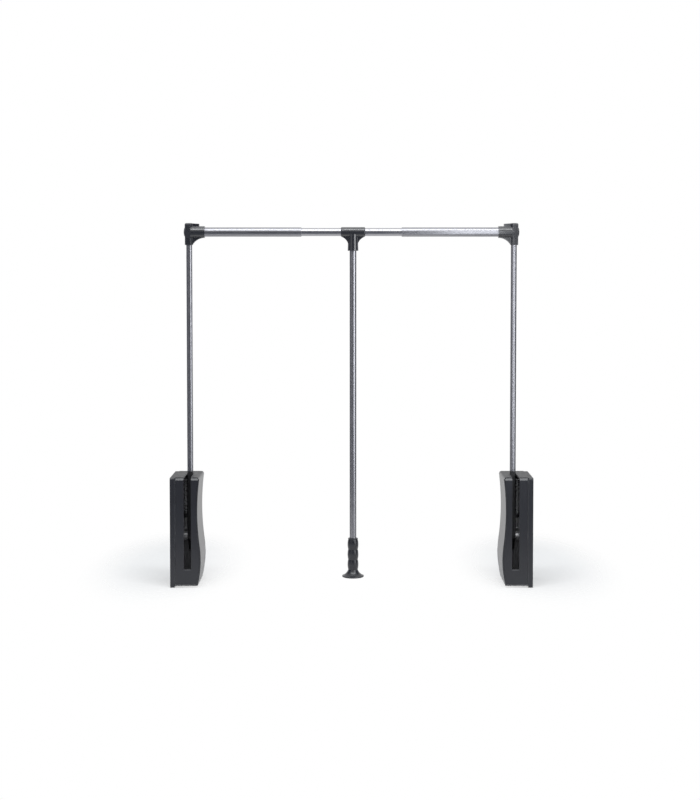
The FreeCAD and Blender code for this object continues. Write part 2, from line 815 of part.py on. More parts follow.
def spring_set():
    """Springs, guides and hydraulic damper between the pusher and the frame's flange."""
    columns = {"inner": "arm_plane - spring_pitch", "outer": "arm_plane + spring_pitch"}
    coils = [spring_coil(f"right_spring_{key}", across) for key, across in columns.items()]
    top = "frame_top - sheet_gauge"
    axis = ("arm_plane", "drive_depth")
    rods = [
        cylinder(f"right_guide_{key}", "guide_radius", f"{top} - ear_top", (across, "drive_depth", "ear_top"))
        for key, across in columns.items()
    ]
    barrel = cylinder("right_damper_barrel", "damper_radius", f"{top} - damper_low", (*axis, "damper_low"))
    depth = f"{top} - damper_low - damper_cap"
    hollow = cylinder("right_damper_hollow", "damper_rod_radius + slide_play", depth, (*axis, "damper_low"))
    rod_foot = "(pusher_bar_z + pusher_bar_height)"
    return [
        group("right_springs", coils),
        group("right_spring_guides", rods),
        cut("right_damper_cylinder", barrel, hollow),
        cylinder("right_damper_rod", "damper_rod_radius", f"damper_rod_top - {rod_foot}", (*axis, rod_foot)),
    ]


def arm_stop():
    """The rubber block, pushed on the flange's edge, that the upright lever leans on."""
    touch = "arm_depth + stem_width / 2 + running_gap"
    size = ("2 * stop_half", f"stop_rear - ({touch})", "stop_height")
    block = box("right_stop_block", size, ("arm_plane - stop_half", touch, "stop_low"))
    size = ("2 * stop_half", "stop_rear - flange_front + cut_margin", "sheet_gauge")
    groove_corner = ("arm_plane - stop_half", "flange_front", "frame_top - sheet_gauge")
    return cut("right_arm_stop", block, box("right_stop_groove", size, groove_corner))


def frame_screws():
    """The two screws that hold the spring frame to the plate."""
    start = f"{PLATE_FACE} - sheet_gauge"
    made = [
        screw(f"right_frame_screw_{number}", (start, *centre), "x", "frame_screw_length")
        for number, centre in enumerate(FRAME_SCREWS)
    ]
    return group("right_frame_screws", made)


# ---------------------------------------------------------------------------------------------------------
# Arm, corner and rail


def arm_tube():
    foot = ("arm_plane", "arm_depth", "stem_top")
    wall = tube("right_arm_pipe", "arm_radius", "arm_radius - tube_wall", "arm_top - stem_top", foot)
    drills = [
        pilot(f"right_arm_pilot_{number}", ("arm_plane", ARM_SCREW_Y, height), "y", "arm_radius + screw_bite")
        for number, height in enumerate((ARM_SCREW_Z, CORNER_SCREW_Z))
    ]
    return cut("right_arm_tube", wall, fuse("right_arm_pilots", drills))


def arm_screws():
    """One screw holds the tube on the lever, one the corner on the tube. Their heads are at the back."""
    made = []
    for name, height, seat in (("low", ARM_SCREW_Z, "arm_radius"), ("high", CORNER_SCREW_Z, "post_outer")):
        start = ("arm_plane", ARM_SCREW_Y, height)
        made.append(screw(f"right_arm_screw_{name}", start, "y", f"{seat} + screw_bite", head_first=False))
    return group("right_arm_screws", made)


def corner_joint():
    """The moulded elbow: upright socket, rail barrel, a curved gusset between them and a flat web on top."""
    body = new_body("right_corner_body")
    centre = ("arm_plane", "arm_depth")
    post = sketch_on(body, "xy", "post", "corner_low")
    circle(post, centre, "post_outer")
    pad(body, post, "total_height - corner_low")
    dress(body, "Chamfer", "corner_chamfer", lambda p: near(p.z, "total_height"))
    barrel = sketch_on(body, "yz", "barrel", "barrel_face")
    circle(barrel, ("arm_depth", "rail_height"), "barrel_radius")
    pad(body, barrel, "arm_plane - barrel_face")
    boss = sketch_on(body, "yz", "boss", "arm_plane")
    circle(boss, ("arm_depth", "rail_height"), "cap_boss")
    pad(body, boss, "barrel_end - arm_plane")
    gusset = sketch_on(body, "xz", "gusset", "-arm_depth")
    inside = "barrel_face + cut_margin"
    outline(
        gusset,
        (inside, "gusset_high"),
        [
            (("gusset_middle_x", "gusset_middle_z"), ("arm_plane - post_outer + cut_margin", "corner_low")),
            ("arm_plane", "corner_low"),
            ("arm_plane", "rail_height"),
            (inside, "rail_height"),
            (inside, "gusset_high"),
        ],
    )
    pad(body, gusset, "corner_web", middle=True)
    web = sketch_on(body, "xz", "web", "-arm_depth")
    outline(
        web,
        ("web_shoulder", "rail_height"),
        [
            ("arm_plane", "rail_height"),
            ("arm_plane", "web_high"),
            ("web_shoulder", "web_low"),
            ("web_shoulder", "rail_height"),
        ],
    )
    pad(body, web, "corner_web", middle=True)
    under = (*centre, "corner_low - cut_margin")
    beside = ("barrel_face - cut_margin", "arm_depth", "rail_height")
    drill = ("arm_plane", ARM_SCREW_Y, CORNER_SCREW_Z)
    depth = "sleeve_root - barrel_face + cut_margin"
    cuts = [
        cylinder("right_corner_arm_bore", "arm_radius", "arm_top - corner_low + cut_margin", under),
        cylinder("right_corner_rail_bore", "sleeve_radius", depth, beside, "x"),
        pilot("right_corner_pilot", drill, "y", "post_outer + screw_bite"),
    ]
    return cut("right_corner_joint", body, fuse("right_corner_cuts", cuts))


def corner_cap():
    """The domed snap cap on the barrel's outer end."""
    body = new_body("right_corner_cap")
    half = sketch_on(body, "xz", "half", "-arm_depth")
    face, crown, axis = "barrel_end", "barrel_end + cap_bulge", "rail_height"
    outline(
        half,
        (face, axis),
        [
            (face, f"{axis} + cap_radius"),
            (f"{face} + cap_rim", f"{axis} + cap_radius"),
            ((f"{face} + cap_belly", f"{axis} + cap_radius / 2"), (crown, f"{axis} + cap_crown")),
            (crown, axis),
            (face, axis),
        ],
    )
    revolve(body, half, (face, axis), (crown, axis))
    return body


def rail_sleeve():
    """The outer sleeve of the telescoping rail, open at the tip where the middle tube slides in."""
    tip = ("sleeve_tip", "arm_depth", "rail_height")
    length = "sleeve_root - sleeve_tip"
    return tube("right_rail_sleeve", "sleeve_radius", "slide_radius + slide_play", length, tip, "x")


# ---------------------------------------------------------------------------------------------------------
# The middle of the rail and the pull handle

TEE_SCREW = ("tee_place", "arm_depth + screw_bite", "tee_screw_z")
TEE_SCREW_LENGTH = "stem_flare - screw_bite"


def centre_tube():
    end = ("-slide_end", "arm_depth", "rail_height")
    return tube("centre_tube", "slide_radius", "slide_radius - tube_wall", "2 * slide_end", end, "x")


def pull_tee():
    """The tee that turns on the middle tube: bevelled sleeve, flared stem and two curved gussets."""
    body = new_body("pull_tee_body")
    axis = ("arm_depth", "rail_height")
    sleeve = sketch_on(body, "yz", "sleeve", "tee_place")
    circle(sleeve, axis, "tee_radius")
    pad(body, sleeve, "2 * tee_half", middle=True)
    dress(body, "Chamfer", "tee_chamfer", lambda p: not near(p.x, "tee_place", 1))
    gusset = sketch_on(body, "xz", "gusset", "-arm_depth")
    reach = "tee_half - tee_chamfer"
    left_tip = (f"tee_place - ({reach})", "tee_gusset_high")
    right_tip = (f"tee_place + {reach}", "tee_gusset_high")
    left_root = ("tee_place - tee_gusset_root", "tee_gusset_low")
    right_root = ("tee_place + tee_gusset_root", "tee_gusset_low")
    left_bend = ("tee_place - tee_gusset_bend_x", "tee_gusset_bend_z")
    right_bend = ("tee_place + tee_gusset_bend_x", "tee_gusset_bend_z")
    top = [(right_tip[0], "tee_web_top"), (left_tip[0], "tee_web_top")]
    outline(gusset, left_tip, [(left_bend, left_root), right_root, (right_bend, right_tip), *top, left_tip])
    pad(body, gusset, "corner_web", middle=True)
    foot = ("tee_place", "arm_depth", "tee_bottom")
    stem = cone("pull_tee_stem", ("stem_flare", "stem_radius"), "rail_height - tee_bottom", foot)
    whole = fuse("pull_tee_whole", [body, stem])
    rail_length = "2 * (tee_half + cut_margin)"
    beside = ("tee_place - tee_half - cut_margin", *axis)
    under = ("tee_place", "arm_depth", "tee_bottom - cut_margin")
    cuts = [
        cylinder("pull_tee_rail_bore", "slide_radius + slide_play", rail_length, beside, "x"),
        cylinder("pull_tee_rod_bore", "rod_radius", "rod_top - tee_bottom + cut_margin", under),
        pilot("pull_tee_pilot", TEE_SCREW, "y", TEE_SCREW_LENGTH),
    ]
    return cut("pull_tee", whole, fuse("pull_tee_cuts", cuts))


def pull_rod():
    foot = ("tee_place", "arm_depth", "rod_bottom")
    pipe = tube("pull_rod_pipe", "rod_radius", "rod_radius - tube_wall", "rod_top - rod_bottom", foot)
    return cut("pull_rod", pipe, pilot("pull_rod_pilot", TEE_SCREW, "y", TEE_SCREW_LENGTH))


def pull_grip():
    """The hand grip: three bulges between narrow waists, then a bell that opens to a round foot."""
    body = new_body("pull_grip_body")
    half = sketch_on(body, "xz", "half", "-arm_depth")

    def at(radius, height):
        return (f"tee_place + {radius}", height)

    bulges = 3
    bulge_height = f"(collar_low - grip_foot) / {bulges}"
    collar = [at("collar_radius", "grip_top"), at("collar_radius", "collar_low")]
    steps = [*collar, at("grip_waist", "collar_low")]
    for number in range(bulges):
        middle = f"collar_low - ({number} + 1 / 2) * {bulge_height}"
        foot = f"collar_low - ({number} + 1) * {bulge_height}"
        steps.append((at("grip_bulge", middle), at("grip_waist", foot)))
    steps += [
        (at("bell_throat", "bell_throat_z"), at("bell_radius - bell_round / 2", "bell_rim_z")),
        at("bell_radius", "bell_rim_z - bell_round"),
        at("bell_radius - bell_round", "grip_bottom"),
        at("bell_radius - bell_land", "grip_bottom"),
        (at("bell_radius / 2", "grip_bottom + bell_crown"), at("rod_radius", "grip_bottom + bell_hollow")),
        at("0", "grip_bottom + bell_hollow"),
        at("0", "grip_top"),
    ]
    outline(half, at("0", "grip_top"), steps)
    revolve(body, half, at("0", "grip_bottom"), at("0", "grip_top"))
    foot = ("tee_place", "arm_depth", "rod_bottom")
    depth = "grip_top - rod_bottom + cut_margin"
    return cut("pull_grip", body, cylinder("pull_grip_socket", "rod_radius", depth, foot))


def tee_screw():
    return screw("tee_screw", TEE_SCREW, "y", TEE_SCREW_LENGTH, head_first=False)


# ---------------------------------------------------------------------------------------------------------
# Assembly

side_set = [
    mounting_plate(),
    housing_shell(),
    slot_fascia(),
    spring_frame(),
    *pivot_pieces(),
    lever(),
    pusher(),
    *spring_set(),
    arm_stop(),
    frame_screws(),
    arm_tube(),
    arm_screws(),
    corner_joint(),
    corner_cap(),
    rail_sleeve(),
]
middle_set = [centre_tube(), pull_tee(), tee_screw(), pull_rod(), pull_grip()]

mirrored = []
for item in side_set:
    twin = doc.addObject("Part::Mirroring", item.Label.replace("right_", "left_", 1))
    twin.Source = item
    twin.Normal = V(1, 0, 0)
    mirrored.append(twin)
doc.recompute()

sub_parts = side_set + mirrored + middle_set
for item in doc.Objects:
    if "Invalid" in item.State or "Error" in item.State:
        raise RuntimeError(f"{item.Name} failed: {item.State}")
for item in sub_parts:
    if item.Shape.isNull() or not item.Shape.isValid():
        raise RuntimeError(f"{item.Name} has no valid shape")

os.makedirs("parts", exist_ok=True)
for item in sub_parts:
    item.Shape.exportStep(f"parts/{item.Label}.step")
print(f"{len(sub_parts)} sub-parts written")
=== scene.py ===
"""Looks of the pull down closet rod: moulded boxes, satin tubes, elbows, tee and grip, on a pale floor.

Lengths are in metres. +X runs along the rail, +Z is up, and who pulls the handle stands at -Y. Pieces of the
right-hand side are made at +X and mirrored over the plane x = 0 for the left-hand side.
"""
import math

import bmesh
import bpy
import numpy as np
from mathutils import Matrix, Vector


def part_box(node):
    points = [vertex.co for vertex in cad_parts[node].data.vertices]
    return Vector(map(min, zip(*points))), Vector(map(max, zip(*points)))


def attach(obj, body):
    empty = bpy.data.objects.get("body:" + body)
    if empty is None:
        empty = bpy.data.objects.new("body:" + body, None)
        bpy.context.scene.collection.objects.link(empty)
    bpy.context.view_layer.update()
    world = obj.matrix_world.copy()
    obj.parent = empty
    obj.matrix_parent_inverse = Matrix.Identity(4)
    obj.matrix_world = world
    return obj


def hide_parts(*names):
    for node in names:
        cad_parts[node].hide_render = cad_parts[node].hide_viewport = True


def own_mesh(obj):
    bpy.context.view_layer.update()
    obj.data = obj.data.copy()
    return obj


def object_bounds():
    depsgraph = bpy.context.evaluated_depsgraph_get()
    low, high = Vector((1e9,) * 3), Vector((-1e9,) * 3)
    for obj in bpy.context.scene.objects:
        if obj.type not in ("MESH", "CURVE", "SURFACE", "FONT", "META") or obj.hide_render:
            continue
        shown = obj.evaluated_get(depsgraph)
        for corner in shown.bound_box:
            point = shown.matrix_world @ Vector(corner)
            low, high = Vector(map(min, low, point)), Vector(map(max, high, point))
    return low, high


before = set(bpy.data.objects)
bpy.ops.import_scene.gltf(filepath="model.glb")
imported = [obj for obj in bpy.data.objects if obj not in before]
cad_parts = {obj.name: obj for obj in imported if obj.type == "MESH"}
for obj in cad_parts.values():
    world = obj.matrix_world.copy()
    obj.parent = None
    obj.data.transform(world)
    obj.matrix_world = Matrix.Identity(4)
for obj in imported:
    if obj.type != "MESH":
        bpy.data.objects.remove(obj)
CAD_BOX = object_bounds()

bl_info = {
    "name": "Pull Down Closet Rod",
    "version": (1, 0, 0),
    "blender": (4, 5, 0),
    "location": "View3D > Sidebar > Closet Rod",
    "description": "Dresses the packed pull down closet rod with smooth pieces and procedural finishes",
    "category": "Object",
}

MM = 0.001
SIDES = ("left", "right")
SAME_POINT = 0.001 * MM
PAST = 1 * MM  # how far a cutter reaches past the face it leaves by
SINK = 0.5 * MM  # how deep solids that are united reach into each other


# ---------------------------------------------------------------------------------------------------------
# Sizes that come from the frame


def frame_size(node, axis):
    low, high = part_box(node)
    return high[axis] - low[axis]


def frame_middle(node):
    low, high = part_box(node)
    return (low + high) / 2


RAIL = frame_middle("centre_tube")
ARM = frame_middle("right_arm_tube")
SHELL_LOW, SHELL_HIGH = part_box("right_housing_shell")
PLATE_LOW, PLATE_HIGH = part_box("right_mounting_plate")


# ---------------------------------------------------------------------------------------------------------
# What a user would change


def length(name, default, description, low=0):
    return bpy.props.FloatProperty(
        name=name,
        description=description,
        default=default,
        min=low,
        subtype="DISTANCE",
        unit="LENGTH",
        precision=4,
    )


def number(name, default, description, low=0):
    return bpy.props.FloatProperty(name=name, description=description, default=default, min=low)


def colour(name, default, description):
    return bpy.props.FloatVectorProperty(
        name=name, description=description, default=default, size=3, min=0, max=1, subtype="COLOR"
    )


class CLOSETROD_PG_box(bpy.types.PropertyGroup):
    """Sizes of the moulded box."""

    wall: length("Wall", 2.5 * MM, "Thickness of the moulded walls")
    top_corner: length("Top corner", 6 * MM, "Radius between the top and the inner side")
    rear_corner: length("Rear corner", 5 * MM, "Radius round the rear face")
    edge: length("Edge", 0.7 * MM, "Radius of the small outer edges")
    shoulder: length("Shoulder", 353.2 * MM, "Place of the inner side at its top")
    turn: length("Turn", 353.3 * MM, "Place of the inner side where the dip turns into the belly")
    turn_height: length("Turn height", 98 * MM, "Height at which the dip turns into the belly")
    foot: length("Foot", 358.5 * MM, "Place of the inner side at its lower end")
    dip_radius: length("Dip radius", 600 * MM, "Radius of the long dip of the inner side")
    fascia_depth: length("Cover depth", 5 * MM, "Thickness of the slotted front cover")
    fascia_gap: length("Cover gap", 0.5 * MM, "Groove between the front cover and the box")
    fascia_bevel: length("Cover bevel", 4.6 * MM, "Height of the bevel on the cover's top edge")
    fascia_drop: length("Cover drop", 1.5 * MM, "How much lower than the box the cover's top is")
    fascia_slant: length("Cover slant", 3.5 * MM, "Depth of the bevel on the cover's top edge")
    slot_width: length("Slot width", 17 * MM, "Width of the slot that the arm swings in")
    slot_bottom: length("Slot bottom", 43 * MM, "Height of the slot's lower end")
    slot_lip: length("Slot lip", 1.25 * MM, "Chamfer along the slot's lower end")
    slot_end: length("Slot end", 14 * MM, "Depth at which the top slot's round end is centred")
    slot_end_radius: length("Slot end radius", 7.6 * MM, "Radius of the top slot's round end")
    window_low: length("Window low end", 35 * MM, "Height of the snap window's slanted lower end")
    window_high: length("Window high end", 69 * MM, "Height of the snap window's upper end")
    window_rear: length("Window rear side", 56 * MM, "Depth of the snap window's rear side")
    window_width: length("Window width", 10 * MM, "Width of the snap window")


class CLOSETROD_PG_tubes(bpy.types.PropertyGroup):
    """Sizes of the tubes."""

    wall: length("Tube wall", 0.8 * MM, "Thickness of the thin tubes")
    rolled_edge: length("Rolled edge", 0.35 * MM, "Radius of the deburred tube ends")
    play: length("Play", 0.06 * MM, "Gap round the middle tube in its sleeves and in the tee")


class CLOSETROD_PG_elbow(bpy.types.PropertyGroup):
    """Sizes of the moulded elbows, from the axes of the arm and of the rail."""

    web: length("Web", 6 * MM, "Half the thickness of the webs between post and barrel")
    outer: length("Post outer side", 9.5 * MM, "From the arm's axis to the post's outer side")
    inner: length("Post inner side", 8.6 * MM, "From the arm's axis to the post's inner side")
    ridge: length("Post ridge", 3.5 * MM, "From the arm's axis to the ridge along the post's front")
    depth: length("Post depth", 13.8 * MM, "From the arm's axis to the post's front, at the rail's height")
    foot_depth: length("Post foot depth", 9.5 * MM, "From the arm's axis to the post's front, at its foot")
    foot_height: length("Post foot height", 16 * MM, "Height over which the post keeps that depth")
    corner: length("Post corner", 2.5 * MM, "Radius of the post's outer corners")
    crown: length("Crown", 2.2 * MM, "Height of the slanted edge round the post's top")
    boss: length("Boss", 12 * MM, "Radius of the round boss under the end cap")
    roof: length("Roof", 24 * MM, "From the arm's axis to the end of the web over the barrel")
    roof_slope: length("Roof slope", 1.5 * MM, "How far the web over the barrel falls to its end")
    hollow: length("Hollow", 18 * MM, "From the barrel's open end to the middle of the hollow lower web")
    hollow_rise: length("Hollow rise", 11.5 * MM, "Height of that middle over the post's lower end")
    melt: length("Softness", 0.35 * MM, "Size of the smallest details that the mould keeps")


class CLOSETROD_PG_tee(bpy.types.PropertyGroup):
    """Sizes of the tee, from the rail's axis."""

    chamfer: length("Chamfer", 1.6 * MM, "Slanted edge at both ends of the barrel")
    stem: length("Stem", 11.3 * MM, "Radius of the stem where it leaves the barrel")
    web: length("Web", 6 * MM, "Half the thickness of the webs beside the stem")
    web_top: length("Web top", 12 * MM, "From the rail's axis down to the outer ends of the webs")
    web_foot: length("Web foot", 12 * MM, "Height over the stem's lower end at which the webs run out")
    web_middle: length("Web middle", 4.2 * MM, "From the stem to the middle of a web's hollow edge")
    web_drop: length("Web drop", 7.8 * MM, "From the webs' top down to the middle of the hollow edge")


class CLOSETROD_PG_grip(bpy.types.PropertyGroup):
    """Sizes of the hand grip."""

    waist: length("Waist", 11.3 * MM, "Radius between the bulges")
    bulge: length("Bulge", 12.9 * MM, "Radius of the bulges")
    bulges: bpy.props.IntProperty(name="Bulges", description="Number of bulges", default=3, min=1)
    collar: length("Collar", 11.6 * MM, "Radius of the collar at the top")
    collar_height: length("Collar height", 3 * MM, "Height of the collar")
    foot: length("Foot", 29 * MM, "Height at which the bell begins")
    rim: length("Rim", 3 * MM, "Thickness of the bell's rim")


class CLOSETROD_PG_finish(bpy.types.PropertyGroup):
    """Colours of the finishes."""

    charcoal: colour("Charcoal plastic", (0.018, 0.019, 0.0245), "Boxes, elbows, tee and grip")
    # Wear and painted highlight: the lighter colour along the plastic edges.
    rubbed_and_highlight: colour("Rubbed plastic and edge highlight", (0.11, 0.112, 0.12), "Edges of the plastic pieces")
    # Painted light: a pale grey for the inner walls, standing in for the light that falls into the boxes
    # through the slot.
    painted_inside_light: colour("Painted inside light", (0.3, 0.3, 0.31), "Inner walls of the boxes, lightened as painted light that falls in through the slot")
    black: colour("Black plastic", (0.014, 0.014, 0.016), "Lever, bush and pusher")
    dust: colour("Dust", (0.07, 0.068, 0.065), "Film of dust on what faces up")
    satin: colour("Satin tube", (0.285, 0.285, 0.306), "Arms, sleeves and pull rod")
    bright: colour("Bright tube", (0.36, 0.36, 0.381), "Middle tube of the rail")
    # Wear and painted highlight: the lighter colour along the metal edges.
    bare_and_highlight: colour("Bare metal and edge highlight", (0.6, 0.6, 0.6), "Edges of the metal pieces")
    zinc: colour("Zinc", (0.6, 0.6, 0.61), "Spring frame, shaft and guides")
    spring: colour("Spring steel", (0.4, 0.4, 0.41), "Springs")
    floor: colour("Floor", (0.96, 0.96, 0.96), "Floor and backdrop")
    cloth: colour("Cloth", (0.293, 0.3, 0.33), "Grey cloth round the scene, seen in reflections")
    light: colour("Light", (0.955, 0.98, 1.0), "Lamps and even light")


# ---------------------------------------------------------------------------------------------------------
# Surfaces


def loop_points(corners, steps=8):
    """A closed outline with its corners rounded, as an (n, 2) array.

    Each corner is (x, y, radius). A corner of radius r is replaced by the circular arc that touches both of
    its sides at a distance r / tan(half the inner angle) from the corner.
    """
    centres = np.array([corner[:2] for corner in corners], float)
    before, after = np.roll(centres, 1, 0), np.roll(centres, -1, 0)
    rounded = []
    for corner, last, following, (_, _, radius) in zip(centres, before, after, corners):
        if radius <= 0:
            rounded.append(corner[None])
            continue
        one = (last - corner) / np.linalg.norm(last - corner)
        two = (following - corner) / np.linalg.norm(following - corner)
        half = math.acos(float(np.clip(one @ two, -1, 1))) / 2
        middle = corner + (one + two) / np.linalg.norm(one + two) * radius / math.sin(half)
        start = corner + one * radius / math.tan(half) - middle
        end = corner + two * radius / math.tan(half) - middle
        turn = math.atan2(start[0] * end[1] - start[1] * end[0], start @ end)
        angle = np.linspace(0, turn, steps + 1)[:, None]
        across = np.array([-start[1], start[0]])
        rounded.append(middle + start * np.cos(angle) + across * np.sin(angle))
    return np.concatenate(rounded)


def arc_through(start, middle, end, steps):
    """Points along the circle through three points, from the first to the last, as an (n, 2) array."""
    a, b, c = (np.array(point, float) for point in (start, middle, end))
    rows = 2 * np.array([b - a, c - a])
    centre = np.linalg.solve(rows, [b @ b - a @ a, c @ c - a @ a])
    turns = [math.atan2(*(point - centre)[::-1]) for point in (a, b, c)]
    sweep = (turns[2] - turns[0]) % (2 * math.pi)
    if (turns[1] - turns[0]) % (2 * math.pi) > sweep:
        sweep -= 2 * math.pi
    angle = turns[0] + np.linspace(0, 1, steps + 1) * sweep
    return centre + np.linalg.norm(a - centre) * np.stack([np.cos(angle), np.sin(angle)], 1)


def new_object(name, data):
    made = bpy.data.objects.new(name, data)
    bpy.context.scene.collection.objects.link(made)
    return made


def make_object(name, points, faces):
    mesh = bpy.data.meshes.new(name)
    mesh.from_pydata(points.tolist(), [], faces)
    mesh.update()
    return new_object(name, mesh)


def skin(name, grid, closed_rows=False, caps=True):
    """A mesh over a grid of points. Each row is a closed ring; rows are joined to the next one by quads.

    With closed_rows the last row joins the first, as on a ring. Otherwise one face caps each end row.
    """
    rows, columns = grid.shape[:2]
    row = np.arange(rows if closed_rows else rows - 1)[:, None]
    column = np.arange(columns)[None, :]
    following_row, following_column = (row + 1) % rows, (column + 1) % columns
    corners = [
        row * columns + column,
        row * columns + following_column,
        following_row * columns + following_column,
        following_row * columns + column,
    ]
    faces = np.stack(np.broadcast_arrays(*corners), -1).reshape(-1, 4).tolist()
    if caps and not closed_rows:
        faces.append(list(range(columns))[::-1])
        faces.append(list(range((rows - 1) * columns, rows * columns)))
    piece = make_object(name, grid.reshape(-1, 3), faces)
    face_outwards(piece)
    return piece


AXES = {"x": (1, 2, 0), "y": (2, 0, 1), "z": (0, 1, 2)}


def turned(name, profile, centre, axis="z", segments=96, closed=True):
    """A surface of revolution: each profile point (radius, height) runs round a circle about the axis.

    The point at an angle a is centre + radius * (cos a, sin a) across the axis + height along it. A closed
    profile makes a ring such as a tube; an open one starts and ends on the axis, where its points are merged.
    """
    profile = np.asarray(profile, float)
    angle = np.linspace(0, 2 * math.pi, segments, endpoint=False)
    grid = np.zeros((len(profile), segments, 3))
    one, two, along = AXES[axis]
    grid[..., one] = centre[one] + profile[:, :1] * np.cos(angle)
    grid[..., two] = centre[two] + profile[:, :1] * np.sin(angle)
    grid[..., along] = centre[along] + profile[:, 1:]
    piece = skin(name, grid, closed_rows=closed, caps=False)
    if not closed:
        face_outwards(piece, SAME_POINT)
    return piece


def prism(name, outline, low, high, axis="y"):
    """A straight solid: the outline at one level, joined to the same outline at another level."""
    one, two, along = AXES[axis]
    grid = np.zeros((2, len(outline), 3))
    grid[..., one] = outline[:, 0]
    grid[..., two] = outline[:, 1]
    grid[0, :, along] = low
    grid[1, :, along] = high
    return skin(name, grid)


def face_outwards(piece, merge=None):
    """Turns every face outwards, after points closer than a distance are merged."""
    work = bmesh.new()
    work.from_mesh(piece.data)
    if merge:
        bmesh.ops.remove_doubles(work, verts=work.verts, dist=merge)
    bmesh.ops.recalc_face_normals(work, faces=work.faces)
    work.to_mesh(piece.data)
    work.free()


def apply_modifiers(piece):
    """Puts the result of a piece's modifiers into its mesh."""
    bpy.context.view_layer.update()
    evaluated = piece.evaluated_get(bpy.context.evaluated_depsgraph_get())
    mesh = bpy.data.meshes.new_from_object(evaluated)
    piece.modifiers.clear()
    old, piece.data = piece.data, mesh
    bpy.data.meshes.remove(old)
    mesh.name = piece.name


def combine(piece, tools, operation):
    """Unites a piece with others, or cuts them from it, and deletes them."""
    for tool in tools:
        step = piece.modifiers.new("combine", "BOOLEAN")
        step.operation, step.solver, step.object = operation, "EXACT", tool
        apply_modifiers(piece)
        bpy.data.objects.remove(tool)
    if not piece.data.polygons:
        raise RuntimeError(f"{piece.name} is empty after {operation}")
    return piece


def round_edges(piece, width, angle=35, segments=3):
    """Rounds the edges that are sharper than an angle."""
    step = piece.modifiers.new("round", "BEVEL")
    step.width, step.segments = width, segments
    step.limit_method, step.angle_limit = "ANGLE", math.radians(angle)
    step.miter_outer = "MITER_ARC"
    step.use_clamp_overlap = True
    apply_modifiers(piece)
    return piece


def melt(piece, voxel, rounds=3, factor=0.5):
    """Makes one skin over united solids and softens every corner, as on a moulded piece."""
    step = piece.modifiers.new("skin", "REMESH")
    step.mode, step.voxel_size, step.adaptivity = "VOXEL", voxel, 0
    soft = piece.modifiers.new("soften", "SMOOTH")
    soft.iterations, soft.factor = rounds, factor
    apply_modifiers(piece)
    return piece


def smooth_by_angle(piece, degrees):
    """Smooth shading that keeps the edges sharper than an angle, and large faces flat up to their edges."""
    mesh = piece.data
    mesh.shade_smooth()
    mesh.set_sharp_from_angle(angle=math.radians(degrees))
    step = piece.modifiers.new("normals", "WEIGHTED_NORMAL")
    step.keep_sharp = True
    apply_modifiers(piece)


def mirrored(piece, name):
    """A copy of a piece on the other side of the plane x = 0."""
    twin = new_object(name, piece.data.copy())
    twin.data.transform(Matrix.Diagonal((-1, 1, 1, 1)))
    twin.data.flip_normals()
    twin.data.name = name
    return twin


def column(items, key, width=1, kind=np.float32):
    """One property of all the items of a mesh, as an array."""
    values = np.empty(len(items) * width, kind)
    items.foreach_get(key, values)
    return values.reshape(-1, width) if width > 1 else values


def store_on_faces(piece, name, values):
    stored = piece.data.attributes.new(name, "FLOAT", "FACE")
    stored.data.foreach_set("value", values.astype(np.float32))


def mark_edges(piece):
    """Stores on each face how sharply the surface turns outwards there, for the lighter edges: partly wear,
    partly a painted highlight.

    Where two faces meet at a convex edge of length l and turn by an angle a, each of them gets a * l / 2.
    Divided by the face's area this is its mean curvature. 1 stands for a radius of one millimetre.
    """
    mesh = piece.data
    edge_of = column(mesh.loops, "edge_index", kind=np.int32)
    face_of = np.repeat(np.arange(len(mesh.polygons)), column(mesh.polygons, "loop_total", kind=np.int32))
    order = np.argsort(edge_of, kind="stable")
    edges, starts, counts = np.unique(edge_of[order], return_index=True, return_counts=True)
    edges, starts = edges[counts == 2], starts[counts == 2]
    one, two = face_of[order[starts]], face_of[order[starts + 1]]
    normals, centres = column(mesh.polygons, "normal", 3), column(mesh.polygons, "center", 3)
    places, ends = column(mesh.vertices, "co", 3), column(mesh.edges, "vertices", 2, np.int32)[edges]
    lengths = np.linalg.norm(places[ends[:, 0]] - places[ends[:, 1]], axis=1)
    turn = np.arccos(np.clip((normals[one] * normals[two]).sum(1), -1, 1))
    convex = ((centres[two] - centres[one]) * normals[one]).sum(1) < 0
    share = np.where(convex, turn * lengths / 2, 0)
    total = np.bincount(one, share, len(mesh.polygons)) + np.bincount(two, share, len(mesh.polygons))
    curvature = total / np.maximum(column(mesh.polygons, "area"), SAME_POINT**2)
    store_on_faces(piece, "edge", np.clip(curvature * MM, 0, 1))


def mark_inside(piece, middle):
    """Stores on each face of a hollow piece 1 where the face looks towards the middle, and 0 elsewhere."""
    mesh = piece.data
    spoke = column(mesh.polygons, "center", 3) - np.array(middle, np.float32)
    store_on_faces(piece, "inside", (spoke * column(mesh.polygons, "normal", 3)).sum(1) < 0)


def dress(piece, material, body, nodes, slot, smooth=30):
    """Gives a finished piece its material, its body and the CAD nodes that it stands for."""
    piece.data.materials.clear()
    piece.data.materials.append(material)
    mark_edges(piece)
    smooth_by_angle(piece, smooth)
    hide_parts(*nodes)
    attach(piece, body)


def dress_both(piece, material, body, node, slot, smooth=30):
    """Dresses a right-hand piece and its mirrored copy, and returns both by side."""
    pair = {"right": piece, "left": mirrored(piece, piece.name.replace("right", "left", 1))}
    for side, one in pair.items():
        dress(one, material, f"{side}_{body}", [f"{side}_{node}"], slot, smooth)
    return pair


def softened(node, name, width):
    """A copy of a CAD node with flat faces made whole and its edges rounded."""
    piece = new_object(name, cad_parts[node].data.copy())
    work = bmesh.new()
    work.from_mesh(piece.data)
    bmesh.ops.remove_doubles(work, verts=work.verts, dist=SAME_POINT)
    flat = math.radians(1)
    bmesh.ops.dissolve_limit(work, angle_limit=flat, verts=work.verts, edges=work.edges)
    work.to_mesh(piece.data)
    work.free()
    return round_edges(piece, width, angle=30, segments=2)


# ---------------------------------------------------------------------------------------------------------
# Finishes


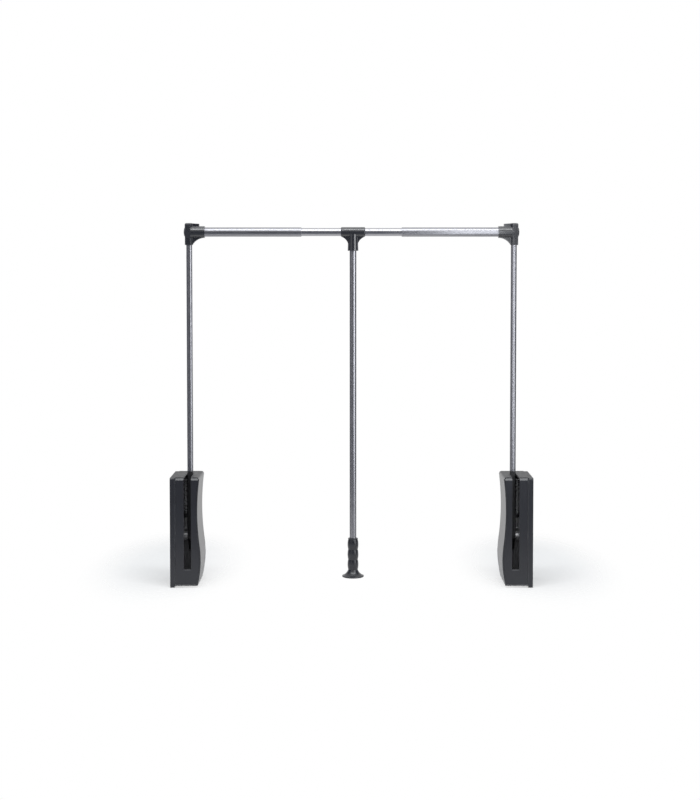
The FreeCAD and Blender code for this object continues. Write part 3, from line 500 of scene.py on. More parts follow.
class Graph:
    """Adds nodes to a tree from left to right."""

    def __init__(self, tree):
        self.tree = tree
        self.count = 0

    def add(self, kind, inputs=None, **settings):
        node = self.tree.nodes.new(kind)
        node.location = (self.count * 180 - 900, -(self.count % 3) * 160)
        self.count += 1
        for key, setting in settings.items():
            setattr(node, key, setting)
        for key, given in (inputs or {}).items():
            self.feed(node.inputs[key], given)
        return node

    def feed(self, socket, given):
        """Links a socket, or sets its value."""
        if isinstance(given, bpy.types.NodeSocket):
            self.tree.links.new(given, socket)
        else:
            socket.default_value = given

    def math(self, operation, *values):
        return self.add("ShaderNodeMath", dict(enumerate(values)), operation=operation).outputs[0]

    def mix(self, factor, one, two):
        """The Mix node's colour sockets are its inputs 6 and 7 and its output 2."""
        return self.add("ShaderNodeMix", {0: factor, 6: one, 7: two}, data_type="RGBA").outputs[2]

    def remap(self, value, limits, results=(0.0, 1.0), curve="LINEAR"):
        """Carries the values between two limits over to the values between two results."""
        given = {"Value": value, "From Min": limits[0], "From Max": limits[1]}
        given |= {"To Min": results[0], "To Max": results[1]}
        return self.add("ShaderNodeMapRange", given, interpolation_type=curve).outputs[0]

    def noise(self, place, scale, detail):
        given = {"Vector": place, "Scale": scale, "Detail": detail}
        return self.add("ShaderNodeTexNoise", given).outputs["Fac"]

    def group(self, tree, inputs):
        return self.add("ShaderNodeGroup", inputs, node_tree=tree).outputs

    def toned(self, tint, tone):
        return self.add("ShaderNodeHueSaturation", {"Color": tint, "Value": tone}).outputs["Color"]

    def bump(self, height, strength, distance):
        given = {"Height": height, "Strength": strength, "Distance": distance}
        return self.add("ShaderNodeBump", given).outputs["Normal"]


SOCKETS = {"Colour": "Color", "Vector": "Vector", "Stretch": "Vector", "Normal": "Vector"}


def new_group(name, inputs, outputs):
    """The graph of a node group, with what it is given and what it puts out.

    A socket holds a float unless its label is named above.
    """
    tree = bpy.data.node_groups.new(name, "ShaderNodeTree")
    for way, labels in (("INPUT", inputs), ("OUTPUT", outputs)):
        for label in labels:
            kind = f"NodeSocket{SOCKETS.get(label, 'Float')}"
            socket = tree.interface.new_socket(name=label, in_out=way, socket_type=kind)
            if way == "INPUT" and inputs[label] is not None:
                socket.default_value = inputs[label]
    graph = Graph(tree)
    return graph, graph.add("NodeGroupInput").outputs, graph.add("NodeGroupOutput").inputs


PIT_DEPTH = 0.06 * MM
PIT_LIMITS = (0.3, 0.7)
PIT_TONES = (0.86, 1.14)
PIT_GLOSS = 0.12
FLOW_SIZE = 14.0
FLOW_LIMITS = (0.25, 0.75)
FLOW_TONES = (0.9, 1.12)


def moulded_grain_group():
    """The spark-eroded grain of moulded plastic: fine pits and the slow tone changes of flow marks."""
    inputs = {"Vector": None, "Colour": (0.03, 0.03, 0.035, 1), "Grain size": 1600.0}
    inputs |= {"Depth": 0.25, "Roughness": 0.45}
    graph, given, result = new_group("Moulded grain", inputs, ("Colour", "Roughness", "Normal"))
    place = given["Vector"]
    pits = graph.noise(place, given["Grain size"], detail=3.0)
    shade = graph.remap(graph.noise(place, FLOW_SIZE, detail=4.0), FLOW_LIMITS, FLOW_TONES)
    tone = graph.math("MULTIPLY", shade, graph.remap(pits, PIT_LIMITS, PIT_TONES))
    spread = graph.math("MULTIPLY", graph.math("SUBTRACT", pits, 0.5), PIT_GLOSS)
    graph.feed(result["Colour"], graph.toned(given["Colour"], tone))
    graph.feed(result["Roughness"], graph.math("ADD", given["Roughness"], spread))
    graph.feed(result["Normal"], graph.bump(pits, given["Depth"], PIT_DEPTH))
    return graph.tree


LINE_DEPTH = 0.03 * MM
LINE_TONES = (0.96, 1.04)
MARK_SIZE = 22.0
MARK_LIMITS = (0.4, 0.7)
MARK_GLOSS = (-0.03, 0.05)


def drawn_metal_group():
    """The finish of drawn tube: fine lines along its length, softer blotches and faint finger marks."""
    inputs = {"Vector": None, "Stretch": (1.0, 1.0, 0.02), "Colour": (0.4, 0.4, 0.4, 1)}
    inputs |= {"Line size": 1400.0, "Depth": 0.15, "Roughness": 0.3}
    graph, given, result = new_group("Drawn metal", inputs, ("Colour", "Roughness", "Normal"))
    place = given["Vector"]
    drawn = graph.add("ShaderNodeVectorMath", {0: place, 1: given["Stretch"]}, operation="MULTIPLY")
    lines = graph.noise(drawn.outputs[0], given["Line size"], detail=2.0)
    tone = graph.remap(lines, (0.0, 1.0), LINE_TONES)
    spread = graph.remap(graph.noise(place, MARK_SIZE, detail=5.0), MARK_LIMITS, MARK_GLOSS)
    graph.feed(result["Colour"], graph.toned(given["Colour"], tone))
    graph.feed(result["Roughness"], graph.math("ADD", given["Roughness"], spread))
    graph.feed(result["Normal"], graph.bump(lines, given["Depth"], LINE_DEPTH))
    return graph.tree


PATCH_LIMITS = (0.35, 0.65)
PATCH_WEAR_AND_HIGHLIGHT = (0.35, 1.0)
SHARP_LIMITS = (0.1, 0.9)


def edge_wear_and_highlight_group():
    """Where a piece is lighter along its sharp edges, more in some patches than in others: partly wear,
    partly a painted highlight.
    """
    inputs = {"Vector": None, "Edge": 0.0, "Amount": 0.5, "Patch size": 60.0}
    graph, given, result = new_group("Edge wear and highlight", inputs, ("Mask",))
    patches = graph.noise(given["Vector"], given["Patch size"], detail=5.0)
    rubbed_and_highlight = graph.remap(patches, PATCH_LIMITS, PATCH_WEAR_AND_HIGHLIGHT)
    sharp = graph.remap(given["Edge"], SHARP_LIMITS)
    worn_and_highlight = graph.math("MULTIPLY", graph.math("MULTIPLY", sharp, rubbed_and_highlight), given["Amount"])
    graph.feed(result["Mask"], worn_and_highlight)
    return graph.tree


UPWARD_LIMITS = (0.6, 1.0)
SPOT_SIZE = 90.0
SPOT_LIMITS = (0.35, 0.75)
SPOT_DUST = (0.5, 1.0)


def settled_dust_group():
    """A thin film of dust on what faces up, with cleaner spots."""
    graph, given, result = new_group("Settled dust", {"Vector": None, "Amount": 0.1}, ("Mask",))
    facing = graph.add("ShaderNodeNewGeometry").outputs["Normal"]
    height = graph.add("ShaderNodeSeparateXYZ", {"Vector": facing}).outputs["Z"]
    upward = graph.remap(height, UPWARD_LIMITS)
    cloudy = graph.noise(given["Vector"], SPOT_SIZE, detail=6.0)
    spots = graph.remap(cloudy, SPOT_LIMITS, SPOT_DUST)
    film = graph.math("MULTIPLY", graph.math("MULTIPLY", upward, spots), given["Amount"])
    graph.feed(result["Mask"], film)
    return graph.tree


def group_named(name, maker):
    return bpy.data.node_groups.get(name) or maker()


def cleared(owner):
    """A graph over the emptied node tree of a material or a world."""
    owner.use_nodes = True
    owner.node_tree.nodes.clear()
    return Graph(owner.node_tree)


RUB_GLOSS = 0.15
DUST_ROUGHNESS = 0.8
COAT_ROUGHNESS = 0.2


def surfaced(name, group, maker, given, worn_and_highlight, wear, dust, metallic=0.0, coat=0.0):
    """A material with edge wear and a painted edge highlight, pale inner walls as painted light, and dust
    laid over a surface group. Made once for each name.
    """
    if name in bpy.data.materials:
        return bpy.data.materials[name]
    material = bpy.data.materials.new(name)
    graph = cleared(material)
    shader = graph.add("ShaderNodeBsdfPrincipled", {"Metallic": metallic, "Coat Weight": coat})
    graph.feed(shader.inputs["Coat Roughness"], COAT_ROUGHNESS)
    graph.add("ShaderNodeOutputMaterial", {"Surface": shader.outputs["BSDF"]})
    place = graph.add("ShaderNodeTexCoord").outputs["Object"]
    base = graph.group(group_named(group, maker), {"Vector": place, **given})
    edge = graph.add("ShaderNodeAttribute", attribute_name="edge").outputs["Fac"]
    wear_and_highlight_group = group_named("Edge wear and highlight", edge_wear_and_highlight_group)
    rub_and_highlight = graph.group(wear_and_highlight_group, {"Vector": place, "Edge": edge, "Amount": wear})["Mask"]
    dust_group = group_named("Settled dust", settled_dust_group)
    film = graph.group(dust_group, {"Vector": place, "Amount": dust})["Mask"]
    inside = graph.add("ShaderNodeAttribute", attribute_name="inside").outputs["Fac"]
    # Faces that look inwards get the pale inside colour: painted light in the boxes' interior, seen through
    # the slot.
    moulded = graph.mix(inside, base["Colour"], (*finish().painted_inside_light, 1))
    # Edges get a lighter colour: partly wear, partly a painted highlight along them.
    rubbed_and_highlight = graph.mix(rub_and_highlight, moulded, (*worn_and_highlight, 1))
    smoother = graph.math("SUBTRACT", base["Roughness"], graph.math("MULTIPLY", rub_and_highlight, RUB_GLOSS))
    rougher = graph.math("ADD", smoother, graph.math("MULTIPLY", film, DUST_ROUGHNESS))
    graph.feed(shader.inputs["Base Color"], graph.mix(film, rubbed_and_highlight, (*finish().dust, 1)))
    graph.feed(shader.inputs["Roughness"], rougher)
    graph.feed(shader.inputs["Normal"], base["Normal"])
    return material


def plastic(name, tint, roughness, grain_size=1600.0, depth=0.25, wear=0.5, dust=0.03, coat=0.0):
    """Moulded plastic with grain, edges lighter from wear and a painted highlight, and a little dust."""
    given = {"Colour": (*tint, 1), "Grain size": grain_size, "Depth": depth, "Roughness": roughness}
    worn_and_highlight = finish().rubbed_and_highlight
    return surfaced(name, "Moulded grain", moulded_grain_group, given, worn_and_highlight, wear, dust, coat=coat)


def metal(name, tint, roughness, stretch, line_size=1400.0, depth=0.15, metallic=1.0, wear=0.4):
    """Drawn or plated metal, with lines along the direction in which stretch is small."""
    given = {"Stretch": stretch, "Colour": (*tint, 1), "Line size": line_size}
    given |= {"Depth": depth, "Roughness": roughness}
    worn_and_highlight = finish().bare_and_highlight
    return surfaced(name, "Drawn metal", drawn_metal_group, given, worn_and_highlight, wear, dust=0.03, metallic=metallic)


ALONG_X = (0.02, 1.0, 1.0)
ALONG_Z = (1.0, 1.0, 0.02)
EVEN = (1.0, 1.0, 1.0)


def charcoal():
    return plastic("Charcoal moulding", finish().charcoal, roughness=0.31, depth=0.12, dust=0.4)


def polished_charcoal():
    """The elbows and the tee come from a smoother mould and shine more."""
    tint = finish().charcoal
    return plastic("Polished moulding", tint, roughness=0.22, depth=0.05, wear=0.25, coat=0.8)


def grip_plastic():
    tint = finish().charcoal
    return plastic("Grip moulding", tint, roughness=0.27, grain_size=900.0, depth=0.15, wear=0.2)


def black_moulding():
    return plastic("Black moulding", finish().black, roughness=0.45, wear=0.4)


def rubber():
    return plastic("Black rubber", finish().black, roughness=0.75, grain_size=700.0, depth=0.5, wear=0)


def satin(axis):
    stretch = ALONG_X if axis == "x" else ALONG_Z
    return metal(f"Satin tube along {axis}", finish().satin, roughness=0.33, stretch=stretch, depth=0.05)


def bright():
    return metal("Bright tube", finish().bright, roughness=0.25, stretch=ALONG_X, depth=0.04)


def zinc():
    plating = {"line_size": 500.0, "depth": 0.05, "metallic": 0.6}
    return metal("Zinc plating", finish().zinc, roughness=0.34, stretch=EVEN, **plating)


def spring_steel():
    wire = {"line_size": 900.0, "depth": 0.05, "metallic": 0.7}
    return metal("Spring steel", finish().spring, roughness=0.32, stretch=EVEN, **wire)


def black_steel():
    return metal("Black steel", finish().black, roughness=0.4, stretch=EVEN, metallic=0.4, wear=0.6)


def box_sizes():
    return bpy.context.scene.closetrod_box


def tube_sizes():
    return bpy.context.scene.closetrod_tubes


def finish():
    return bpy.context.scene.closetrod_finish


# ---------------------------------------------------------------------------------------------------------
# The box


ARC_STEPS = 24
SIDE_STEPS = 60
SHARPEST_CORNER = 0.3 * MM


def side_outline(inset=0.0, top_inset=None):
    """The box's outline from the front, in x and z, counted from the outer lower corner.

    The outer side is straight. The inner side is a dip, an arc of the stated radius from the shoulder to the
    turn, followed by a belly, the arc that leaves the dip in its own direction and ends at the foot. An inset
    moves every side inwards by the same amount.
    """
    box = box_sizes()
    outer = PLATE_LOW.x - inset
    low = SHELL_LOW.z + inset
    high = SHELL_HIGH.z - (inset if top_inset is None else top_inset)
    shoulder = np.array([box.shoulder + inset, high])
    turn = np.array([box.turn + inset, box.turn_height])
    foot = np.array([box.foot + inset, low])
    radius = box.dip_radius + inset
    chord = turn - shoulder
    reach = np.linalg.norm(chord)
    across = np.array([-chord[1], chord[0]]) / reach
    across *= math.copysign(1, across[0])
    sag = radius - math.sqrt(radius**2 - reach**2 / 4)
    dip_middle = (shoulder + turn) / 2 + across * sag
    dip = arc_through(shoulder, dip_middle, turn, ARC_STEPS)
    centre = dip_middle - across * radius
    spoke = (turn - centre) / radius
    belly_radius = (foot - turn) @ (foot - turn) / (2 * abs((foot - turn) @ spoke))
    belly_centre = turn + spoke * belly_radius
    out = (turn + foot) / 2 - belly_centre
    belly_middle = belly_centre + out / np.linalg.norm(out) * belly_radius
    belly = arc_through(turn, belly_middle, foot, ARC_STEPS)
    inner = np.concatenate([dip, belly[1:]])
    corner = max(box.top_corner - inset, SHARPEST_CORNER)
    height = np.linspace(high - corner, low, SIDE_STEPS)
    side = np.stack([np.interp(height, inner[::-1, 1], inner[::-1, 0]), height], 1)
    entry = side[0, 0]
    quarter = np.linspace(0, math.pi / 2, 9)
    rounded = np.stack([entry + corner * (1 - np.sin(quarter)), high - corner * (1 - np.cos(quarter))], 1)
    start = np.array([[outer, low], [outer, high]])
    return np.concatenate([start, rounded, side[1:]])


RIM_STEPS = 6
RING_STEPS = 14


def shell_solid(name):
    """The box as rings of the outline along y: inside rear, front rim, outside and the round rear edge."""
    box = box_sizes()
    front, rear = SHELL_LOW.y, SHELL_HIGH.y
    wall, edge, corner = box.wall, box.edge, box.rear_corner
    quarter = np.linspace(0, math.pi / 2, RIM_STEPS)
    between = np.linspace(front + edge, rear - corner, RING_STEPS)[1:-1]
    rings = [(rear - wall, wall + corner / 2), (rear - wall - corner / 2, wall)]
    rings += [(level, wall) for level in between[::-1]]
    rings += [(front + edge, wall)]
    rings += [(front + edge * (1 - math.sin(a)), wall - edge * (1 - math.cos(a))) for a in quarter[1:]]
    rings += [(front + edge * (1 - math.cos(a)), edge * (1 - math.sin(a))) for a in quarter]
    rings += [(level, 0) for level in between]
    rings += [(rear - corner * (1 - math.sin(a)), corner * (1 - math.cos(a))) for a in quarter]
    grid = np.stack([ring_at(level, side_outline(inset)) for level, inset in rings])
    return skin(name, grid)


def ring_at(level, outline):
    ring = np.empty((len(outline), 3))
    ring[:, 0], ring[:, 1], ring[:, 2] = outline[:, 0], level, outline[:, 1]
    return ring


def slot_cutter(name):
    """What the arm sweeps through the top wall: a straight slot with a round end."""
    box = box_sizes()
    half = box.slot_width / 2
    front = SHELL_LOW.y + box.fascia_depth - PAST
    left, right = ARM.x - half, ARM.x + half
    end = arc_through(
        (ARM.x + box.slot_end_radius, box.slot_end),
        (ARM.x, box.slot_end + box.slot_end_radius),
        (ARM.x - box.slot_end_radius, box.slot_end),
        16,
    )
    outline = np.concatenate([[[left, front], [right, front]], end])
    return prism(name, outline, SHELL_HIGH.z - 3 * box.wall, SHELL_HIGH.z + PAST, "z")


class CLOSETROD_OT_shells(bpy.types.Operator):
    """Makes the two moulded boxes with their wavy inner side and the slot in the top"""

    bl_idname = "closetrod.shells"
    bl_label = "Boxes"

    def execute(self, context):
        box = box_sizes()
        piece = shell_solid("right_box")
        seat = side_outline(box.wall, top_inset=-PAST)
        recess = prism("recess", seat[:, ::-1], SHELL_LOW.y - PAST, SHELL_LOW.y + box.fascia_depth)
        near, far = box.window_rear - box.window_width, box.window_rear
        low, high = box.window_low, box.window_high
        opening = np.array([[near, low], [far, low + box.window_width], [far, high], [near, high]])
        reach = 10 * box.wall
        window = prism("window", opening, box.turn - reach, box.turn + reach, "x")
        combine(piece, [recess, slot_cutter("slot"), window], "DIFFERENCE")
        round_edges(piece, width=0.35 * MM)
        # Marks the inward faces, which get the painted inside light.
        mark_inside(piece, (SHELL_LOW + SHELL_HIGH) / 2)
        dress_both(piece, charcoal(), "housing", "housing_shell", "charcoal_plastic")
        return {"FINISHED"}


class CLOSETROD_OT_fascias(bpy.types.Operator):
    """Makes the slotted front covers with their bevelled top edge"""

    bl_idname = "closetrod.fascias"
    bl_label = "Front covers"

    def execute(self, context):
        box = box_sizes()
        front, back = SHELL_LOW.y, SHELL_LOW.y + box.fascia_depth
        face = side_outline(box.wall + box.fascia_gap, top_inset=box.fascia_drop)
        piece = prism("right_front_cover", face[:, ::-1], front, back)
        top = SHELL_HIGH.z - box.fascia_drop
        edge, slope = top - box.fascia_bevel, box.fascia_slant / box.fascia_bevel
        over, before, behind = top + PAST, front - PAST, back + PAST
        wedge = [[front - PAST * slope, edge - PAST], [before, over], [front + (over - edge) * slope, over]]
        corner = prism("corner", np.array(wedge), box.shoulder - box.wall * 4, PLATE_HIGH.x, "x")
        lip, low = box.slot_lip, box.slot_bottom
        sweep = [[behind, low], [front + lip, low], [before, low - lip - PAST]]
        sweep += [[before, over], [behind, over]]
        half = box.slot_width / 2
        slot = prism("slot", np.array(sweep), ARM.x - half, ARM.x + half, "x")
        combine(piece, [corner, slot], "DIFFERENCE")
        round_edges(piece, width=0.4 * MM)
        dress_both(piece, charcoal(), "housing", "slot_fascia", "charcoal_plastic")
        return {"FINISHED"}


class CLOSETROD_OT_plates(bpy.types.Operator):
    """Rounds the edges of the ribbed base plates that are screwed to the side walls"""

    bl_idname = "closetrod.plates"
    bl_label = "Base plates"

    def execute(self, context):
        piece = softened("right_mounting_plate", "right_base_plate", width=0.5 * MM)
        dress_both(piece, charcoal(), "housing", "mounting_plate", "charcoal_plastic")
        return {"FINISHED"}


# ---------------------------------------------------------------------------------------------------------
# Tubes


def tube_piece(name, node, axis, wall):
    """A smooth tube in the place of a CAD tube, as a turned wall with rounded ends."""
    low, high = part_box(node)
    across, _, along = AXES[axis]
    outer, reach = (high[across] - low[across]) / 2, high[along] - low[along]
    inner, edge = outer - wall, tube_sizes().rolled_edge
    centre = (low + high) / 2
    centre[along] = low[along]
    section = loop_points([(outer, 0, edge), (outer, reach, edge), (inner, reach, edge), (inner, 0, edge)], 4)
    return turned(name, section, centre, axis)


class CLOSETROD_OT_tubes(bpy.types.Operator):
    """Makes the arms, the rail's sleeves and middle tube, and the pull rod"""

    bl_idname = "closetrod.tubes"
    bl_label = "Tubes"

    def execute(self, context):
        wall = tube_sizes().wall
        arm = tube_piece("right_arm", "right_arm_tube", "z", wall)
        dress_both(arm, satin("z"), "arm_frame", "arm_tube", "satin_tube", 40)
        middle_radius = frame_size("centre_tube", 2) / 2
        sleeve_wall = frame_size("right_rail_sleeve", 2) / 2 - middle_radius - tube_sizes().play
        sleeve = tube_piece("right_sleeve", "right_rail_sleeve", "x", sleeve_wall)
        dress_both(sleeve, satin("x"), "arm_frame", "rail_sleeve", "satin_tube", 40)
        middle = tube_piece("middle_tube", "centre_tube", "x", wall)
        dress(middle, bright(), "centre_rail", ["centre_tube"], "polished_steel", 40)
        rod = tube_piece("handle_rod", "pull_rod", "z", wall)
        dress(rod, satin("z"), "pull_handle", ["pull_rod"], "satin_tube", 40)
        return {"FINISHED"}


# ---------------------------------------------------------------------------------------------------------
# Elbows, caps, tee and grip


def rod_shape(name, radius, low, high, centre, axis):
    """A plain round bar, from low to high along an axis."""
    return turned(name, [(0, low), (radius, low), (radius, high), (0, high)], centre, axis, closed=False)


class CLOSETROD_OT_elbows(bpy.types.Operator):
    """Makes the moulded elbows between the arms and the rail, and their domed end caps"""

    bl_idname = "closetrod.elbows"
    bl_label = "Elbows"

    def execute(self, context):
        elbow = context.scene.closetrod_elbow
        low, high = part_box("right_corner_joint")
        barrel, face = (high.y - low.y) / 2, low.x
        arm, rail = Vector((ARM.x, ARM.y, 0)), Vector((0, RAIL.y, RAIL.z))
        piece = self.post(elbow, low, high)
        parts = [
            rod_shape("barrel", barrel, face, ARM.x - elbow.ridge - SINK, rail, "x"),
            rod_shape("boss", elbow.boss, ARM.x + 2 * SINK, high.x, rail, "x"),
            self.lower_web(elbow, low, barrel),
            self.roof(elbow, high),
        ]
        combine(piece, parts, "UNION")
        melt(piece, elbow.melt)
        arm_radius, arm_top = frame_size("right_arm_tube", 0) / 2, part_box("right_arm_tube")[1].z
        sleeve_radius, root = frame_size("right_rail_sleeve", 2) / 2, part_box("right_rail_sleeve")[1].x
        bores = [
            rod_shape("arm_bore", arm_radius, low.z - PAST, arm_top, arm, "z"),
            rod_shape("rail_bore", sleeve_radius, face - PAST, root, rail, "x"),
        ]
        combine(piece, bores, "DIFFERENCE")
        dress_both(piece, polished_charcoal(), "arm_frame", "corner_joint", "charcoal_plastic")
        dress_both(self.cap(rail), polished_charcoal(), "arm_frame", "corner_cap", "charcoal_plastic")
        return {"FINISHED"}

    def post(self, elbow, low, high):
        """The post: a square bar with round outer corners, a ridge along its front and a slanted crown.

        Its section keeps its width and gets deeper between its foot and the rail, as a loft of five rings.
        """
        front, back = ARM.y - elbow.depth, ARM.y + elbow.depth
        flat = elbow.web + SINK
        corners = [
            (ARM.x + elbow.outer, front, elbow.corner),
            (ARM.x + elbow.outer, back, elbow.corner),
            (ARM.x - elbow.ridge, back, 0),
            (ARM.x - elbow.inner, ARM.y + flat, 0),
            (ARM.x - elbow.inner, ARM.y - flat, 0),
            (ARM.x - elbow.ridge, front, 0),
        ]
        section = loop_points(corners)
        middle = np.array([ARM.x, ARM.y])
        foot, crown, taper = elbow.foot_depth / elbow.depth, elbow.crown / elbow.outer, 0.9
        levels = [
            (low.z, 1, foot),
            (low.z + elbow.foot_height, 1, foot),
            (RAIL.z, 1, 1),
            (high.z - elbow.crown, 1, taper),
            (high.z, 1 - crown, taper - crown),
        ]
        rings = [
            np.column_stack([middle + (section - middle) * (wide, deep), np.full(len(section), height)])
            for height, wide, deep in levels
        ]
        return skin("right_elbow", np.stack(rings))

    def lower_web(self, elbow, low, barrel):
        """The web under the barrel. Its free edge is an arc from the barrel's end to the post's foot."""
        inside, foot, rise = low.x + 1 * MM, low.z + 0.3 * MM, 0.4 * MM
        curve = arc_through(
            (inside, RAIL.z - barrel + rise),
            (low.x + elbow.hollow, low.z + elbow.hollow_rise),
            (ARM.x - elbow.inner + SINK, foot),
            20,
        )
        outline = np.concatenate([curve, [[ARM.x, foot], [ARM.x, RAIL.z], [inside, RAIL.z]]])
        return prism("lower_web", outline[:, ::-1], RAIL.y - elbow.web, RAIL.y + elbow.web)

    def roof(self, elbow, high):
        """The web over the barrel, whose top falls gently from the post to its end."""
        end, top = ARM.x - elbow.roof, high.z - 0.2 * MM
        outline = np.array([[end, RAIL.z], [ARM.x, RAIL.z], [ARM.x, top], [end, top - elbow.roof_slope]])
        return prism("roof", outline[:, ::-1], RAIL.y - elbow.web, RAIL.y + elbow.web)

    def cap(self, rail):
        """A dome whose height falls off with a power of the distance from the middle, then a round rim."""
        low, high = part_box("right_corner_cap")
        radius, rim, height, power = (high.y - low.y) / 2, 1.2 * MM, high.x - low.x, 2.4
        reach = np.linspace(0, 1, 14)
        dome = np.stack([radius * reach, high.x - (height - rim) * reach**power], 1)
        profile = np.concatenate([dome, [[radius, low.x], [0, low.x]]])
        return turned("right_end_cap", profile, rail, "x", closed=False)


class CLOSETROD_OT_tee(bpy.types.Operator):
    """Makes the tee that hangs the pull rod on the rail"""

    bl_idname = "closetrod.tee"
    bl_label = "Tee"

    def execute(self, context):
        tee = context.scene.closetrod_tee
        low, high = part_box("pull_tee")
        middle_x, half = (low.x + high.x) / 2, (high.x - low.x) / 2
        radius, flare = high.z - RAIL.z, (high.y - low.y) / 2
        rail, down = Vector((middle_x, RAIL.y, RAIL.z)), Vector((middle_x, RAIL.y, 0))
        edge = half - tee.chamfer
        section = [(0, -half), (radius - tee.chamfer, -half), (radius, -edge)]
        section += [(radius, edge), (radius - tee.chamfer, half), (0, half)]
        piece = turned("handle_tee", section, rail, "x", closed=False)
        cone = [(0, low.z), (flare, low.z), (tee.stem, RAIL.z), (0, RAIL.z)]
        post = turned("post", cone, down, "z", closed=False)
        combine(piece, [post, self.webs(tee, low, middle_x, half)], "UNION")
        melt(piece, context.scene.closetrod_elbow.melt)
        bore = frame_size("centre_tube", 2) / 2 + tube_sizes().play
        rod, rod_top = frame_size("pull_rod", 1) / 2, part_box("pull_rod")[1].z
        bores = [
            rod_shape("rail_bore", bore, -half - PAST, half + PAST, rail, "x"),
            rod_shape("rod_bore", rod, low.z - PAST, rod_top, down, "z"),
        ]
        combine(piece, bores, "DIFFERENCE")
        dress(piece, polished_charcoal(), "pull_handle", ["pull_tee"], "charcoal_plastic")
        return {"FINISHED"}

    def webs(self, tee, low, middle_x, half):
        """The webs on both sides of the stem, each with an arc for its free edge."""
        reach, spread = half - 2 * tee.chamfer, 0.4 * MM
        top, foot = RAIL.z - tee.web_top, low.z + tee.web_foot
        middle = (-tee.stem - tee.web_middle, top - tee.web_drop)
        left = arc_through((-reach, top), middle, (spread - tee.stem, foot), 16)
        right = left[::-1] * (-1, 1)
        root = RAIL.z - 4 * MM
        outline = np.concatenate([left, right, [[reach, root], [-reach, root]]]) + (middle_x, 0)
        return prism("webs", outline[:, ::-1], RAIL.y - tee.web, RAIL.y + tee.web)


class CLOSETROD_OT_grip(bpy.types.Operator):
    """Makes the hand grip: bulges between waists over a bell-shaped foot"""

    bl_idname = "closetrod.grip"
    bl_label = "Grip"

    def execute(self, context):
        low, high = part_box("pull_grip")
        centre = Vector(((low.x + high.x) / 2, (low.y + high.y) / 2, 0))
        section = self.section(context.scene.closetrod_grip, low, high)
        piece = turned("hand_grip", section, centre, "z", 128, closed=False)
        dress(piece, grip_plastic(), "pull_handle", ["pull_grip"], "charcoal_plastic", 35)
        return {"FINISHED"}

    def section(self, grip, low, high):
        """Socket, collar, bulges whose radius follows a power of a sine, flared bell, hollow underside."""
        bell = (high.x - low.x) / 2
        rod, socket = frame_size("pull_rod", 1) / 2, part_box("pull_rod")[0].z
        soft = 0.5 * MM
        collar_low = high.z - grip.collar_height
        height = np.linspace(collar_low, grip.foot, 61)
        share = (collar_low - height) / (collar_low - grip.foot) * grip.bulges
        fullness = 0.8
        wave = np.abs(np.sin(math.pi * share)) ** fullness
        bulges = np.stack([grip.waist + (grip.bulge - grip.waist) * wave, height], 1)
        rim = low.z + grip.rim
        flare, rise = 5.2 * MM, 5.8 * MM
        throat_middle = (grip.waist + flare, rim + rise)
        throat = arc_through((grip.waist, grip.foot), throat_middle, (bell - soft, rim), 16)
        belly, foot, dish = 1.2 * MM, 4 * MM, 2.2 * MM
        edge = arc_through((bell - soft, rim), (bell, rim - belly), (bell - 2 * soft, low.z), 8)
        under = arc_through((bell - foot, low.z), (bell / 2, low.z + dish), (rod, rim), 10)
        collar = [
            (rod, socket),
            (rod, high.z - soft),
            (rod + soft, high.z),
            (grip.collar - soft, high.z),
            (grip.collar, high.z - soft),
            (grip.collar, collar_low + soft),
            (grip.collar - soft, collar_low),
        ]
        return np.concatenate([[(0, socket)], collar, bulges, throat[1:], edge[1:], under, [(0, rim)]])


# ---------------------------------------------------------------------------------------------------------
# Inside the box


def coil(name, centre, low, high, radius, wire, turns, steps=36, round_=10):
    """A compression spring: a circle of wire carried along a helix.

    The height rises with the angle, more slowly near both ends, so that the end turns lie flat. The wire's
    centre is centre + radius * (cos a, sin a). Each wire point is offset along the spoke and straight up.
    """
    part = np.linspace(0, 1, int(turns * steps) + 1)
    angle = 2 * math.pi * turns * part
    flatness = 0.75
    rise = part - flatness * np.sin(2 * math.pi * part) / (2 * math.pi)
    height = low + wire + (high - low - 2 * wire) * rise
    around = np.linspace(0, 2 * math.pi, round_, endpoint=False)
    reach = radius + wire * np.cos(around)[None, :]
    grid = np.stack(
        [
            centre.x + reach * np.cos(angle)[:, None],
            centre.y + reach * np.sin(angle)[:, None],
            height[:, None] + wire * np.sin(around)[None, :],
        ],
        -1,
    )
    return skin(name, grid)


class CLOSETROD_OT_springs(bpy.types.Operator):
    """Winds the four compression springs that lift the rail"""

    bl_idname = "closetrod.springs"
    bl_label = "Springs"

    def execute(self, context):
        low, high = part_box("right_springs")
        outer, wire, turns = (high.y - low.y) / 2, 0.95 * MM, 11
        pieces = []
        for count, x in enumerate((low.x + outer, high.x - outer), 1):
            centre = Vector((x, (low.y + high.y) / 2, 0))
            pieces.append(coil(f"right_spring_{count}", centre, low.z, high.z, outer - wire, wire, turns))
        for piece in pieces:
            pair = dress_both(piece, spring_steel(), "housing", "springs", "spring_steel", 60)
            for side, one in pair.items():
                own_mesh(one)
        return {"FINISHED"}


